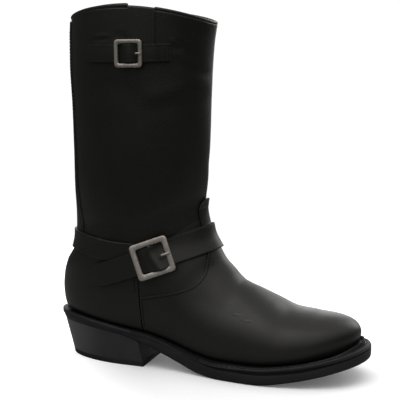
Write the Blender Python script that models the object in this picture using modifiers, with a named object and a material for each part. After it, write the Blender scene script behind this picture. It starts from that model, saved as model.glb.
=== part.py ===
"""Right-foot engineer boot with a western heel: hollow leather upper, welted sole, two buckled straps."""

import math

import bmesh
import bpy
import numpy as np
from mathutils import Vector
from mathutils.bvhtree import BVHTree

# Sizes are in millimetres. "along" runs from the back of the heel to the toe, "up" starts at the floor,
# and a side is OUTER or INNER, the sign of its y.
MM = 0.001
GAP = 0.3
OUTER = -1
INNER = 1
ORIGIN_ALONG = 54.0

# Line where the upper meets the welt, seen from above.
HEEL_BACK = 4.8
HEEL_ROUND = 70.0
HEEL_HALF_WIDTH = 31.8
TOE_TIP = 290.5
TOE_SIDE = 0.5
BALL = {OUTER: 205.0, INNER: 222.0}
BALL_HALF_WIDTH = {OUTER: 46.0, INNER: 43.0}
WAIST_COLUMNS = ("along", "outer", "inner")
WAIST = (
    (70.0, 31.8, 31.8),
    (95.0, 32.0, 30.0),
    (120.0, 33.4, 28.2),
    (150.0, 38.0, 30.6),
    (180.0, 43.8, 36.8),
    (205.0, 46.0, 41.6),
    (222.0, 45.5, 43.0),
)

# Seat is the top of the welt, tread the underside of the outsole; reach and edge are how far the welt and
# the outsole stand outside the welt line.
SOLE_COLUMNS = ("along", "seat", "tread", "reach", "edge")
SOLE = (
    (-4.0, 44.0, 34.8, 8.6, 7.4),
    (20.0, 42.4, 34.2, 4.9, 4.6),
    (45.0, 39.4, 32.4, 3.8, 3.8),
    (70.0, 35.8, 29.4, 3.7, 3.7),
    (93.0, 32.6, 22.9, 3.9, 3.9),
    (112.0, 28.6, 15.9, 4.3, 4.3),
    (132.0, 22.6, 8.6, 4.9, 4.9),
    (152.0, 17.6, 1.9, 5.5, 5.5),
    (170.0, 15.4, 0.0, 6.0, 6.0),
    (205.0, 15.6, 0.0, 6.5, 6.5),
    (238.0, 19.0, 4.9, 7.2, 7.2),
    (262.0, 23.9, 10.2, 8.5, 8.5),
    (282.0, 28.8, 15.4, 10.0, 10.0),
    (302.0, 35.0, 20.8, 11.0, 11.0),
)
WELT_THICKNESS = 4.0
WELT_INSIDE = -5.0
INSOLE_EDGE = -5.4
INSOLE_RISE = 1.5
HEEL_BREAST = 93.0
HEEL_LEAN = 10.0
BREAST_LEAN = 5.0
HEEL_INSET = 0.8
HEEL_BACK_INSET = 2.4
HEEL_WAIST = 0.4
STACK_SHARE = 0.88
LIFT_SHARE = 0.89
LIFT_THICKNESS = 4.5

# Where the welt line is sampled: degrees round the heel, places along the waist, degrees round the toe.
OUTLINE_HEEL_ANGLES = (80, 68, 56, 44, 30, 15, 0)
OUTLINE_MIDDLE = (HEEL_BREAST, 112.0, 132.0, 152.0, 170.0, 205.0)
OUTLINE_TOE_ANGLES = {OUTER: (10, 20, 30, 40, 50, 60, 70, 80), INNER: (0, 12, 24, 36, 47, 58, 69, 80)}

# Profiles of the rims, from the bottom up: how far in from the rim, and where between the faces.
OUTSOLE_RIM = {"foot_round": 1.8, "foot_edge": 0.4, "foot_rise": 1.0, "groove": 1.3, "groove_foot": 2.0}
WELT_RIM = ((1.2, 1.0), (0.1, 0.75), (0.0, 0.3), (0.9, 0.0))

# Sections of the upper over the foot. Each runs from a point on the welt line up to a point on the ridge;
# bulge is how far the widest place stands outside the welt line, and lies at "equator" of the height.
FOOT_COLUMNS = (
    "along", "top_along", "top_up", "middle", "bulge_outer", "bulge_inner", "equator", "crown", "base",
)
FOOT = (
    (290.5, 290.3, 39.5, 0.5, 0.0, 0.0, 0.42, 2.2, 2.0),
    (250.0, 253.0, 56.3, 1.0, 1.4, 1.4, 0.32, 2.2, 2.0),
    (225.0, 231.0, 59.2, 1.2, 1.5, 1.5, 0.29, 2.15, 2.0),
    (205.0, 214.0, 66.9, 1.2, 1.5, 1.5, 0.28, 2.1, 2.0),
    (180.0, 198.0, 74.5, 1.0, 1.7, 2.2, 0.28, 2.0, 2.0),
    (155.0, 184.0, 80.8, 0.8, 2.0, 3.0, 0.29, 1.95, 2.0),
    (130.0, 170.5, 93.4, 0.5, 2.6, 4.4, 0.31, 1.9, 2.0),
    (105.0, 161.2, 103.8, 0.2, 3.2, 5.2, 0.34, 1.9, 2.0),
    (80.0, 156.0, 115.0, 0.0, 4.0, 4.6, 0.37, 1.95, 2.1),
    (55.0, 151.4, 125.0, 0.0, 4.2, 4.2, 0.41, 2.0, 2.1),
    (30.0, 148.0, 134.0, 0.0, 4.2, 4.2, 0.44, 2.05, 2.2),
    (4.8, 145.4, 142.0, 0.0, 4.2, 4.2, 0.46, 2.05, 2.2),
)
TOE_CAP = 250.0
TOE_ROUND = 3.1
TOE_TOP_SLOPE = -0.04

# Closed sections from the heel up the shaft. Rise lifts the sides of the scalloped collar.
SHAFT_COLUMNS = ("back", "back_up", "front", "front_up", "half_width", "equator", "crown", "base", "rise")
SHAFT = (
    (4.8, 44.2, 145.4, 142.0, 36.0, 0.46, 2.05, 2.2, 0.0),
    (3.1, 55.0, 144.3, 146.5, 36.2, 0.46, 2.05, 2.2, 0.0),
    (2.2, 66.0, 143.7, 150.5, 36.5, 0.46, 2.05, 2.2, 0.0),
    (3.2, 78.0, 143.4, 155.0, 36.9, 0.46, 2.05, 2.2, 0.0),
    (6.5, 91.0, 143.7, 160.5, 37.5, 0.46, 2.05, 2.15, 0.0),
    (14.0, 105.0, 144.4, 167.0, 38.3, 0.46, 2.05, 2.1, 0.0),
    (16.5, 119.0, 145.1, 175.0, 39.2, 0.47, 2.05, 2.1, 0.0),
    (16.6, 138.0, 145.8, 186.0, 40.4, 0.48, 2.05, 2.1, 0.0),
    (15.2, 165.0, 146.4, 202.0, 42.0, 0.49, 2.05, 2.1, 0.0),
    (14.4, 200.0, 146.9, 223.0, 43.8, 0.5, 2.05, 2.05, 0.0),
    (13.4, 240.0, 147.3, 248.0, 45.4, 0.5, 2.05, 2.05, 0.0),
    (11.4, 280.0, 148.3, 279.0, 46.8, 0.5, 2.05, 2.05, 1.5),
    (11.4, 304.0, 149.8, 301.0, 47.5, 0.5, 2.05, 2.05, 6.0),
    (11.9, 320.5, 152.0, 316.5, 48.0, 0.5, 2.05, 2.05, 10.5),
)
WALL = 2.4
UPPER_CLEAR = 0.7
LOW_STEPS = 5
HIGH_STEPS = 7
TOE_ROWS = 8
FOOT_ROWS = 7
HEEL_ROWS = 5
SHAFT_ROWS = 13

# Overlays on the upper. Seams are drawn from the side, as along and up; the tongue and the back strip
# from the front and the back.
OVERLAY_LIFT = 0.3
OVERLAY = 1.6
SIDE_SEAM = ((94.0, 33.2), (93.6, 45.0), (92.6, 58.0), (92.0, 66.5), (90.2, 88.0), (89.0, 106.0))
SIDE_SEAM_CORNER = 3
VAMP_SEAM = (
    (92.0, 66.5),
    (104.0, 68.8),
    (118.0, 71.8),
    (131.0, 75.3),
    (140.5, 79.4),
    (146.8, 85.2),
    (150.1, 93.0),
    (150.4, 104.0),
    (149.5, 118.0),
)
TONGUE_HALF_WIDTH = 11.0
TONGUE_FOOT = 110.0
TONGUE_TOP = 160.0
TONGUE_STEPS = 8
COUNTER_TOP = ((89.0, 106.0), (60.0, 108.0), (30.0, 111.0), (-25.0, 113.5))
# Up and half width of the back strip.
STRIP = (
    (114.5, 27.5),
    (129.0, 26.0),
    (143.0, 24.0),
    (162.0, 22.0),
    (200.0, 20.0),
    (238.0, 19.5),
    (318.0, 19.0),
)
STRIP_THICKNESS = 1.2
CUTTER_HALF = 90.0
CUTTER_FRONT = 310.0
CUTTER_BACK = -25.0
CUTTER_STEP = 12.0

# Straps. A route runs round an upright axis in the shaft: angle 0 is the front, negative the outer side;
# lift is the clearance under the strap.
ANKLE_AXIS = 80.0
COLLAR_AXIS = 81.0
STRAP_THICKNESS = 1.8
REAR_STRAP_LIFT = 2.4
# Along, and up of the top and the foot edge, of the rear half of the ankle strap.
REAR_STRAP = (
    (-25.0, 124.5, 106.5),
    (12.0, 124.0, 106.0),
    (31.0, 122.4, 105.0),
    (49.0, 120.0, 101.5),
    (75.0, 117.0, 97.5),
    (107.0, 116.0, 95.5),
)
ROUTE_COLUMNS = ("angle", "up", "lift")
ANKLE_ROUTE = (
    (-131.0, 82.5, 3.4),
    (-112.0, 88.5, 4.9),
    (-90.0, 95.0, 4.9),
    (-75.0, 99.6, 4.8),
    (-70.0, 101.1, 4.8),
    (-57.0, 104.9, 9.1),
    (-46.0, 108.6, 4.6),
    (-41.0, 110.5, 4.1),
    (-28.5, 115.5, 2.9),
    (-16.5, 120.3, 2.8),
    (0.0, 123.6, 2.7),
    (16.5, 120.3, 2.8),
    (28.5, 115.5, 2.9),
    (40.0, 111.0, 4.6),
    (54.0, 107.0, 4.9),
    (74.0, 104.0, 4.9),
)
ANKLE_STRAP_WIDTH = 22.0
ANKLE_STEP = 4.1
ANKLE_BARS = (-75.0, -41.5)
TOP_ROUTE = (
    (-135.0, 289.5, 0.6),
    (-122.0, 289.3, 0.7),
    (-105.0, 289.1, 1.6),
    (-95.5, 289.0, 2.0),
    (-82.5, 289.0, 6.3),
    (-70.5, 289.2, 2.4),
    (-58.5, 289.7, 2.2),
    (-51.0, 290.0, 0.9),
    (-43.5, 290.2, 0.6),
)
TOP_STRAP_WIDTH = 16.4
TOP_STEP = 4.0
TOP_BARS = (-95.5, -70.5)
TIP_LENGTH = 9.0
TIP_SHARE = 0.3
FAR_LIFT = 8.0
BUCKLE_CLEAR = 1.5
BUCKLE_CORNER = 4.0
BUCKLE_HOLE_CORNER = 1.8
BUCKLE_ROUND = 0.8
BUCKLE_FOOT_ROUND = 0.6
CENTRE_BAR_DROP = 0.5
PRONG_INSIDE = 4.0
PRONG_SHORT = 0.6
# How far along the prong, and its girth there as a share of the full one.
PRONG = ((0.0, 0.7), (0.12, 1.0), (0.8, 1.0), (0.95, 0.8), (1.0, 0.45))
ROUND_STEPS = 8
ANKLE_BUCKLE = {"long": 36.0, "wide": 34.0, "bar": 4.6, "thick": 2.6, "centre_bar": 1.3, "prong": 1.1}
TOP_BUCKLE = {"long": 25.7, "wide": 24.6, "bar": 3.6, "thick": 2.4, "centre_bar": 1.1, "prong": 0.9}

# Collar.
BINDING_RADIUS = 2.0
BINDING_STEPS = 18
PULL_ANGLE = 71.0
PULL_HALF_WIDTH = 11.2
PULL_FOOT = 291.0
PULL_INSIDE_FOOT = 270.0
PULL_THICKNESS = 1.6
PULL_FOLD = 0.4
PULL_FOLD_RISE = 0.85
PULL_BENDS = (14.0, 30.0)
RIM_PROBE = 2.0

LEATHER = ("black_leather", (0.012, 0.012, 0.013), 0.42, 0.0)
RUBBER = ("black_rubber", (0.010, 0.010, 0.011), 0.6, 0.0)
HEEL_BLACK = ("black_heel_edge", (0.018, 0.018, 0.020), 0.45, 0.0)
LINING = ("tan_lining", (0.30, 0.20, 0.12), 0.8, 0.0)
PEWTER = ("pewter", (0.45, 0.43, 0.40), 0.38, 1.0)


def clear_scene():
    for old in list(bpy.data.objects):
        bpy.data.objects.remove(old)


def add_collection(name):
    made = bpy.data.collections.new(name)
    bpy.context.scene.collection.children.link(made)
    return made


def material_for(spec):
    name, colour, roughness, metallic = spec
    if name in bpy.data.materials:
        return bpy.data.materials[name]
    made = bpy.data.materials.new(name)
    made.use_nodes = True
    shader = made.node_tree.nodes["Principled BSDF"]
    shader.inputs["Base Color"].default_value = (*colour, 1.0)
    shader.inputs["Roughness"].default_value = roughness
    shader.inputs["Metallic"].default_value = metallic
    made.diffuse_color = (*colour, 1.0)
    return made


def world(point):
    return Vector(((point[0] - ORIGIN_ALONG) * MM, point[1] * MM, point[2] * MM))


def column(rows, columns, name):
    return np.array([row[columns.index(name)] for row in rows])


def smooth(xs, ys, x):
    """Curve through the rows that never overshoots them."""
    order = np.argsort(xs)
    xs = np.asarray(xs, float)[order]
    ys = np.asarray(ys, float)[order]
    steps = np.diff(xs)
    slopes = np.diff(ys) / steps
    bends = np.zeros_like(xs)
    bends[0] = slopes[0]
    bends[-1] = slopes[-1]
    for i in range(1, len(xs) - 1):
        if slopes[i - 1] * slopes[i] > 0:
            near = 2 * steps[i] + steps[i - 1]
            far = steps[i] + 2 * steps[i - 1]
            bends[i] = (near + far) / (near / slopes[i - 1] + far / slopes[i])
    x = min(max(x, xs[0]), xs[-1])
    i = min(int(np.searchsorted(xs, x, side="right")) - 1, len(steps) - 1)
    t = (x - xs[i]) / steps[i]
    return float(
        ys[i] * (1 + 2 * t) * (1 - t) ** 2
        + bends[i] * steps[i] * t * (1 - t) ** 2
        + ys[i + 1] * t * t * (3 - 2 * t)
        + bends[i + 1] * steps[i] * t * t * (t - 1)
    )


def sole(name, along):
    return smooth(column(SOLE, SOLE_COLUMNS, "along"), column(SOLE, SOLE_COLUMNS, name), along)


def foot(name, along):
    return smooth(column(FOOT, FOOT_COLUMNS, "along"), column(FOOT, FOOT_COLUMNS, name), along)


def shaft(name, row):
    return smooth(range(len(SHAFT)), column(SHAFT, SHAFT_COLUMNS, name), row)


def welt_line(along, side):
    """y of the line where the upper meets the welt."""
    if along <= HEEL_ROUND:
        part = (HEEL_ROUND - along) / (HEEL_ROUND - HEEL_BACK)
        return side * HEEL_HALF_WIDTH * math.sqrt(max(0.0, 1 - part * part))
    if along >= BALL[side]:
        part = (along - BALL[side]) / (TOE_TIP - BALL[side])
        half = BALL_HALF_WIDTH[side] - side * TOE_SIDE
        return TOE_SIDE + side * half * math.sqrt(max(0.0, 1 - part * part))
    name = "outer" if side == OUTER else "inner"
    return side * smooth(column(WAIST, WAIST_COLUMNS, "along"), column(WAIST, WAIST_COLUMNS, name), along)


def half_section(station, side, start, end, steps, above):
    """Points of one side of a section from one angle to another, above or below its widest place."""
    low = Vector(station["low"])
    high = Vector(station["high"])
    widest = station["equator"]
    half = station["half"][side]
    power = 2 / (station["crown"] if above else station["base"])
    points = []
    for i in range(steps + 1):
        angle = start + (end - start) * i / steps
        wide = max(0.0, math.cos(angle)) ** power
        rise = abs(math.sin(angle)) ** power
        if above:
            part = widest + (1 - widest) * rise
        else:
            part = widest * (1 - rise / station["depth"][side])
        spot = low.lerp(high, part)
        lift = station["rise"] * wide * wide
        points.append((spot.x, station["middle"] + side * half * wide, spot.z + lift))
    return points


def section(station):
    """Points of one section, from the outer foot over the top to the inner foot."""
    station["depth"] = {}
    halves = {}
    for side in (OUTER, INNER):
        share = min(1.0, station["foot_half"][side] / max(station["half"][side], 1e-6))
        turn = math.acos(share ** (station["base"] / 2))
        station["depth"][side] = max(math.sin(turn), 1e-6) ** (2 / station["base"])
        below = half_section(station, side, turn, 0.0, LOW_STEPS, False)
        over = half_section(station, side, 0.0, math.pi / 2, HIGH_STEPS, True)
        halves[side] = below + over[1:]
    return halves[OUTER] + halves[INNER][-2::-1]


def foot_station(along):
    """Section of the upper that stands on the welt line."""
    top_along = foot("top_along", along)
    top_up = foot("top_up", along)
    if along > TOE_CAP:
        tip_up = foot("top_up", TOE_TIP)
        part = (along - TOE_CAP) / (TOE_TIP - TOE_CAP)
        line = foot("top_up", TOE_CAP) + TOE_TOP_SLOPE * (along - TOE_CAP)
        top_up = tip_up + (line - tip_up) * (1 - part**TOE_ROUND) ** (1 / TOE_ROUND)
    middle = foot("middle", along)
    foot_half = {}
    half = {}
    for side, name in ((OUTER, "bulge_outer"), (INNER, "bulge_inner")):
        foot_half[side] = abs(welt_line(along, side) - middle)
        widest = abs(welt_line(max(along, HEEL_ROUND), side) - middle)
        half[side] = widest + foot(name, along) * min(1.0, widest / 12)
    return {
        "low": (along, 0, sole("seat", along) + UPPER_CLEAR),
        "high": (top_along, 0, top_up),
        "middle": middle,
        "foot_half": foot_half,
        "half": half,
        "equator": foot("equator", along),
        "crown": foot("crown", along),
        "base": foot("base", along),
        "rise": 0.0,
    }


def shaft_station(row):
    """Closed section round the heel or the shaft."""
    half = shaft("half_width", row)
    return {
        "low": (shaft("back", row), 0, shaft("back_up", row)),
        "high": (shaft("front", row), 0, shaft("front_up", row)),
        "middle": 0.0,
        "foot_half": {OUTER: 0.0, INNER: 0.0},
        "half": {OUTER: half, INNER: half},
        "equator": shaft("equator", row),
        "crown": shaft("crown", row),
        "base": shaft("base", row),
        "rise": shaft("rise", row),
    }


def upper_sections():
    """Sections of the upper from the toe tip back to the heel, then up the shaft to the collar."""
    stations = []
    for i in range(TOE_ROWS):
        angle = math.pi / 2 * (1 - i / TOE_ROWS)
        stations.append(foot_station(BALL[OUTER] + (TOE_TIP - BALL[OUTER]) * math.sin(angle)))
    for i in range(FOOT_ROWS):
        stations.append(foot_station(BALL[OUTER] + (HEEL_ROUND - BALL[OUTER]) * i / FOOT_ROWS))
    for i in range(HEEL_ROWS + 1):
        angle = math.pi / 2 * i / HEEL_ROWS
        stations.append(foot_station(HEEL_ROUND + (HEEL_BACK - HEEL_ROUND) * math.sin(angle)))
    for i in range(1, SHAFT_ROWS + 1):
        stations.append(shaft_station((len(SHAFT) - 1) * i / SHAFT_ROWS))
    return [section(station) for station in stations]


def finish(name, shape, collection, spec):
    mesh = bpy.data.meshes.new(name)
    shape.to_mesh(mesh)
    shape.free()
    made = bpy.data.objects.new(name, mesh)
    collection.objects.link(made)
    mesh.materials.append(material_for(spec))
    return made


def skin(lift):
    """Outside of the upper, pushed out by lift."""
    rows = upper_sections()
    shape = bmesh.new()
    grid = [[shape.verts.new(world(point)) for point in row] for row in rows]
    for back, front in zip(grid[1:], grid[:-1]):
        for j in range(len(front) - 1):
            shape.faces.new((front[j], front[j + 1], back[j + 1], back[j]))
    bmesh.ops.remove_doubles(shape, verts=shape.verts[:], dist=0.01 * MM)
    bmesh.ops.dissolve_degenerate(shape, edges=shape.edges[:], dist=0.001 * MM)
    bmesh.ops.triangulate(shape, faces=shape.faces[:], quad_method="SHORT_EDGE")
    shape.normal_update()
    moved = [(vert, vert.co + vert.normal * lift * MM) for vert in shape.verts]
    for vert, spot in moved:
        vert.co = spot
    return shape


def thicken(made, thickness, outward):
    wall = made.modifiers.new("wall", "SOLIDIFY")
    wall.thickness = thickness * MM
    wall.offset = 1.0 if outward else -1.0
    wall.use_quality_normals = True


def loft(name, rings, capped, collection, spec):
    """Solid through closed rings of equal length, its ends closed by strips, or joined end to start."""
    shape = bmesh.new()
    grid = [[shape.verts.new(world(point)) for point in ring] for ring in rings]
    count = len(grid[0])
    around = zip(grid, grid[1:]) if capped else zip(grid, grid[1:] + grid[:1])
    for here, there in around:
        for i in range(count):
            j = (i + 1) % count
            shape.faces.new((here[i], here[j], there[j], there[i]))
    for ring in (grid[0], grid[-1]) if capped else ():
        for i in range(count // 2):
            spots = (i, i + 1, (count - i - 1) % count, (count - i) % count)
            shape.faces.new([ring[k] for k in dict.fromkeys(spots)])
    bmesh.ops.recalc_face_normals(shape, faces=shape.faces[:])
    return finish(name, shape, collection, spec)


def outline_side(side):
    """Places along one side of the welt line, from the heel to the toe."""
    places = [HEEL_ROUND + (HEEL_BACK - HEEL_ROUND) * math.sin(math.radians(a)) for a in OUTLINE_HEEL_ANGLES]
    places += OUTLINE_MIDDLE
    toe = TOE_TIP - BALL[side]
    places += [BALL[side] + toe * math.sin(math.radians(a)) for a in OUTLINE_TOE_ANGLES[side]]
    return [(along, welt_line(along, side)) for along in places]


def outline():
    """The welt line as a closed ring from the back of the heel, with the way outwards at each place."""
    ring = [(HEEL_BACK, 0.0)] + outline_side(OUTER) + [(TOE_TIP, TOE_SIDE)] + outline_side(INNER)[::-1]
    found = []
    for i, (along, across) in enumerate(ring):
        before = ring[i - 1]
        after = ring[(i + 1) % len(ring)]
        way = Vector((after[0] - before[0], after[1] - before[1])).normalized()
        found.append((along, across, way.y, -way.x))
    return found


def sole_ring(reach, height):
    """Ring at a distance from the welt line; reach and height are worked out at each place."""
    ring = []
    for along, across, way_along, way_across in outline():
        distance = reach(along)
        spot = along + distance * way_along
        ring.append((spot, across + distance * way_across, height(spot)))
    return ring


def edge_ring(name, inset, height):
    """Ring inset from the rim of the welt ("reach") or of the outsole ("edge")."""
    return sole_ring(lambda along: sole(name, along) - inset, height)


def seat(offset):
    return lambda along: sole("seat", along) + offset


def tread(offset):
    return lambda along: sole("tread", along) + offset


def make_outsole(collection):
    top = -WELT_THICKNESS - GAP
    rim = OUTSOLE_RIM
    rings = [
        edge_ring("edge", rim["foot_round"], tread(0.0)),
        edge_ring("edge", rim["foot_edge"], tread(rim["foot_rise"])),
        edge_ring("edge", 0.0, seat(top - rim["groove_foot"])),
        edge_ring("edge", rim["groove"], seat(top - rim["groove"])),
        edge_ring("edge", rim["groove"], seat(top)),
    ]
    return loft("outsole", rings, True, collection, RUBBER)


def make_welt(collection):
    rings = [edge_ring("reach", inset, seat(-share * WELT_THICKNESS)) for inset, share in WELT_RIM]
    rings.append(sole_ring(lambda along: WELT_INSIDE, seat(0.0)))
    rings.append(sole_ring(lambda along: WELT_INSIDE, seat(-WELT_THICKNESS)))
    return loft("welt", rings, False, collection, RUBBER)


def make_insole(collection):
    rings = [
        sole_ring(lambda along: INSOLE_EDGE, seat(-WELT_THICKNESS)),
        sole_ring(lambda along: INSOLE_EDGE, seat(INSOLE_RISE)),
    ]
    return loft("insole", rings, True, collection, LINING)


def heel_ring(part, height):
    """Ring of the heel at a part of its depth, from 0 under the seat to 1 at the floor."""
    points = []
    for along, across, way_along, way_across in outline():
        if along > HEEL_BREAST:
            continue
        share = (HEEL_BREAST - along) / (HEEL_BREAST - HEEL_BACK)
        inset = HEEL_INSET + (HEEL_BACK_INSET - HEEL_INSET) * share * share
        distance = sole("edge", along) - inset
        spot = along + distance * way_along
        moved = spot + part * (HEEL_LEAN * share + BREAST_LEAN * (1 - share))
        under = sole("tread", spot) - 2 * GAP
        points.append((moved, across + distance * way_across, height(under)))
    return points


def make_heel(collection):
    stack_foot = LIFT_THICKNESS + GAP
    rings = []
    for part in (0.0, HEEL_WAIST, STACK_SHARE):
        share = part / STACK_SHARE
        rings.append(heel_ring(part, lambda under, share=share: under + (stack_foot - under) * share))
    stack = loft("heel_stack", rings, True, collection, HEEL_BLACK)
    rings = [heel_ring(LIFT_SHARE, lambda under: LIFT_THICKNESS), heel_ring(1.0, lambda under: 0.0)]
    lift = loft("heel_top_lift", rings, True, collection, RUBBER)
    return stack, lift


def make_upper(collection):
    made = finish("upper", skin(0.0), collection, LEATHER)
    thicken(made, WALL, False)
    return made


def curve(rows, steps):
    """Smooth line through rows, with a number of steps from row to row."""
    places = [i / steps for i in range((len(rows) - 1) * steps + 1)]
    return [[smooth(range(len(rows)), values, t) for values in zip(*rows)] for t in places]


def shifted(line, shift):
    return [(along + shift, up) for along, up in line]


def prism(name, outline_points, along_y, start, end, collection):
    """Cutter: a flat outline drawn out across the boot, or along it."""
    shape = bmesh.new()
    if along_y:
        spots = [(first, start, second) for first, second in outline_points]
        way = (0, (end - start) * MM, 0)
    else:
        spots = [(start, first, second) for first, second in outline_points]
        way = ((end - start) * MM, 0, 0)
    face = shape.faces.new([shape.verts.new(world(spot)) for spot in spots])
    drawn = bmesh.ops.extrude_face_region(shape, geom=[face])
    moved = [item for item in drawn["geom"] if isinstance(item, bmesh.types.BMVert)]
    bmesh.ops.translate(shape, verts=moved, vec=way)
    bmesh.ops.recalc_face_normals(shape, faces=shape.faces[:])
    made = finish(name, shape, collection, LEATHER)
    made.hide_render = True
    made.display_type = "WIRE"
    return made


def combine(made, other, operation):
    step = made.modifiers.new(operation.lower(), "BOOLEAN")
    step.operation = operation
    step.solver = "EXACT"
    step.object = other


def overlay(name, lift, thickness, cutter, collection):
    """Piece between two outward offsets of the upper, inside a cutter."""
    made = finish(name, skin(lift), collection, LEATHER)
    thicken(made, thickness, True)
    combine(made, cutter, "INTERSECT")
    return made


def above_welt(start, end):
    """Line just over the welt, along the boot."""
    count = max(2, int(abs(end - start) / CUTTER_STEP))
    places = [start + (end - start) * i / count for i in range(count + 1)]
    return [(along, sole("seat", along) + UPPER_CLEAR) for along in places]


def make_vamp(collection, cutters):
    side = shifted(curve(SIDE_SEAM[: SIDE_SEAM_CORNER + 1], 2), GAP)
    seam = shifted(curve(VAMP_SEAM, 3), GAP)
    front = above_welt(CUTTER_FRONT, side[0][0]) + side[1:] + seam[1:] + [(CUTTER_FRONT, seam[-1][1])]
    cutter = prism("vamp_cutter", front, True, -CUTTER_HALF, CUTTER_HALF, cutters)
    tongue = [(-TONGUE_HALF_WIDTH, TONGUE_FOOT), (TONGUE_HALF_WIDTH, TONGUE_FOOT)]
    for i in range(TONGUE_STEPS + 1):
        angle = math.pi * i / TONGUE_STEPS
        drop = TONGUE_HALF_WIDTH * (1 - math.sin(angle))
        tongue.append((TONGUE_HALF_WIDTH * math.cos(angle), TONGUE_TOP - drop))
    tongue_cutter = prism("tongue_cutter", tongue, False, ANKLE_AXIS, CUTTER_FRONT, cutters)
    combine(cutter, tongue_cutter, "UNION")
    return overlay("vamp", OVERLAY_LIFT, OVERLAY, cutter, collection)


def make_counter(collection, cutters):
    side = shifted(curve(SIDE_SEAM, 2), -GAP)
    top = shifted(curve(COUNTER_TOP, 2), -GAP)
    rear = above_welt(CUTTER_BACK, side[0][0]) + side[1:] + top[1:]
    cutter = prism("counter_cutter", rear, True, -CUTTER_HALF, CUTTER_HALF, cutters)
    return overlay("counter", OVERLAY_LIFT, OVERLAY, cutter, collection)


def make_back_strip(collection, cutters):
    edge = curve(STRIP, 2)
    strip = [(half, up) for up, half in edge] + [(-half, up) for up, half in edge[::-1]]
    cutter = prism("strip_cutter", strip, False, CUTTER_BACK, COLLAR_AXIS, cutters)
    return overlay("back_strip", OVERLAY_LIFT, STRIP_THICKNESS, cutter, collection)


def make_rear_strap(collection, cutters):
    rows = curve(REAR_STRAP, 2)
    edge = [(along, top) for along, top, low in rows] + [(along, low) for along, top, low in rows[::-1]]
    cutter = prism("rear_strap_cutter", edge, True, -CUTTER_HALF, CUTTER_HALF, cutters)
    return overlay("ankle_strap_rear", REAR_STRAP_LIFT, STRAP_THICKNESS, cutter, collection)


class Wrap:
    """Places on and off the outside of the upper, found from an upright axis inside it."""

    def __init__(self):
        self.trees = []
        for lift in (0.0, FAR_LIFT):
            shape = skin(lift)
            self.trees.append(BVHTree.FromBMesh(shape))
            shape.free()
        self.rim = upper_sections()[-1]

    def reach(self, axis, angle, up, lift=0.0):
        """Distance from the axis to the place that stands clear of the upper by lift."""
        way = Vector((math.cos(math.radians(angle)), math.sin(math.radians(angle)), 0))
        near, far = (tree.ray_cast(world((axis, 0, up)), way)[3] / MM for tree in self.trees)
        return near + (far - near) * lift / FAR_LIFT

    def spot(self, axis, angle, up, lift):
        distance = self.reach(axis, angle, up, lift)
        turn = math.radians(angle)
        return Vector((axis + distance * math.cos(turn), distance * math.sin(turn), up))

    def rim_up(self, axis, angle):
        turns = [math.degrees(math.atan2(y, x - axis)) for x, y, z in self.rim]
        order = np.argsort(turns)
        ups = [self.rim[i][2] for i in order]
        return float(np.interp(angle, [turns[i] for i in order], ups, period=360))


def route(rows, name, angle):
    return smooth(column(rows, ROUTE_COLUMNS, "angle"), column(rows, ROUTE_COLUMNS, name), angle)


def strap(name, wrap, axis, rows, width, step, collection):
    """Flat strap laid along a route, with a rounded tip at its start."""
    first = rows[0][0]
    last = rows[-1][0]
    count = int(abs(last - first) / step)
    rings = []
    gone = 0.0
    before = None
    for i in range(count + 1):
        angle = first + (last - first) * i / count
        up = route(rows, "up", angle)
        lift = route(rows, "lift", angle)
        here = wrap.spot(axis, angle, up, 0.0)
        gone += (here - before).length if before else 0.0
        before = here
        level = wrap.spot(axis, angle + 1, up, 0.0) - wrap.spot(axis, angle - 1, up, 0.0)
        climb = route(rows, "up", angle + 1) - route(rows, "up", angle - 1)
        slope = math.atan2(climb, level.length)
        share = 1.0
        if gone < TIP_LENGTH:
            share = TIP_SHARE + (1 - TIP_SHARE) * math.sqrt(1 - (1 - gone / TIP_LENGTH) ** 2)
        inner = []
        outer = []
        for k in (-2, -1, 0, 1, 2):
            off = width / 4 * share * k
            turned = angle - 2 * off * math.sin(slope) / level.length
            height = up + off * math.cos(slope)
            inner.append(wrap.spot(axis, turned, height, lift))
            outer.append(wrap.spot(axis, turned, height, lift + STRAP_THICKNESS))
        rings.append(inner + outer[::-1])
    return loft(name, rings, True, collection, LEATHER)


def rounded_square(long, wide, radius):
    """Outline of a square with rounded corners, from its middle."""
    points = []
    for turn, corner in ((0, (1, 1)), (90, (-1, 1)), (180, (-1, -1)), (270, (1, -1))):
        centre = (corner[0] * (long / 2 - radius), corner[1] * (wide / 2 - radius))
        for i in range(4):
            angle = math.radians(turn + 30 * i)
            points.append((centre[0] + radius * math.cos(angle), centre[1] + radius * math.sin(angle)))
    return points


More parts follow.
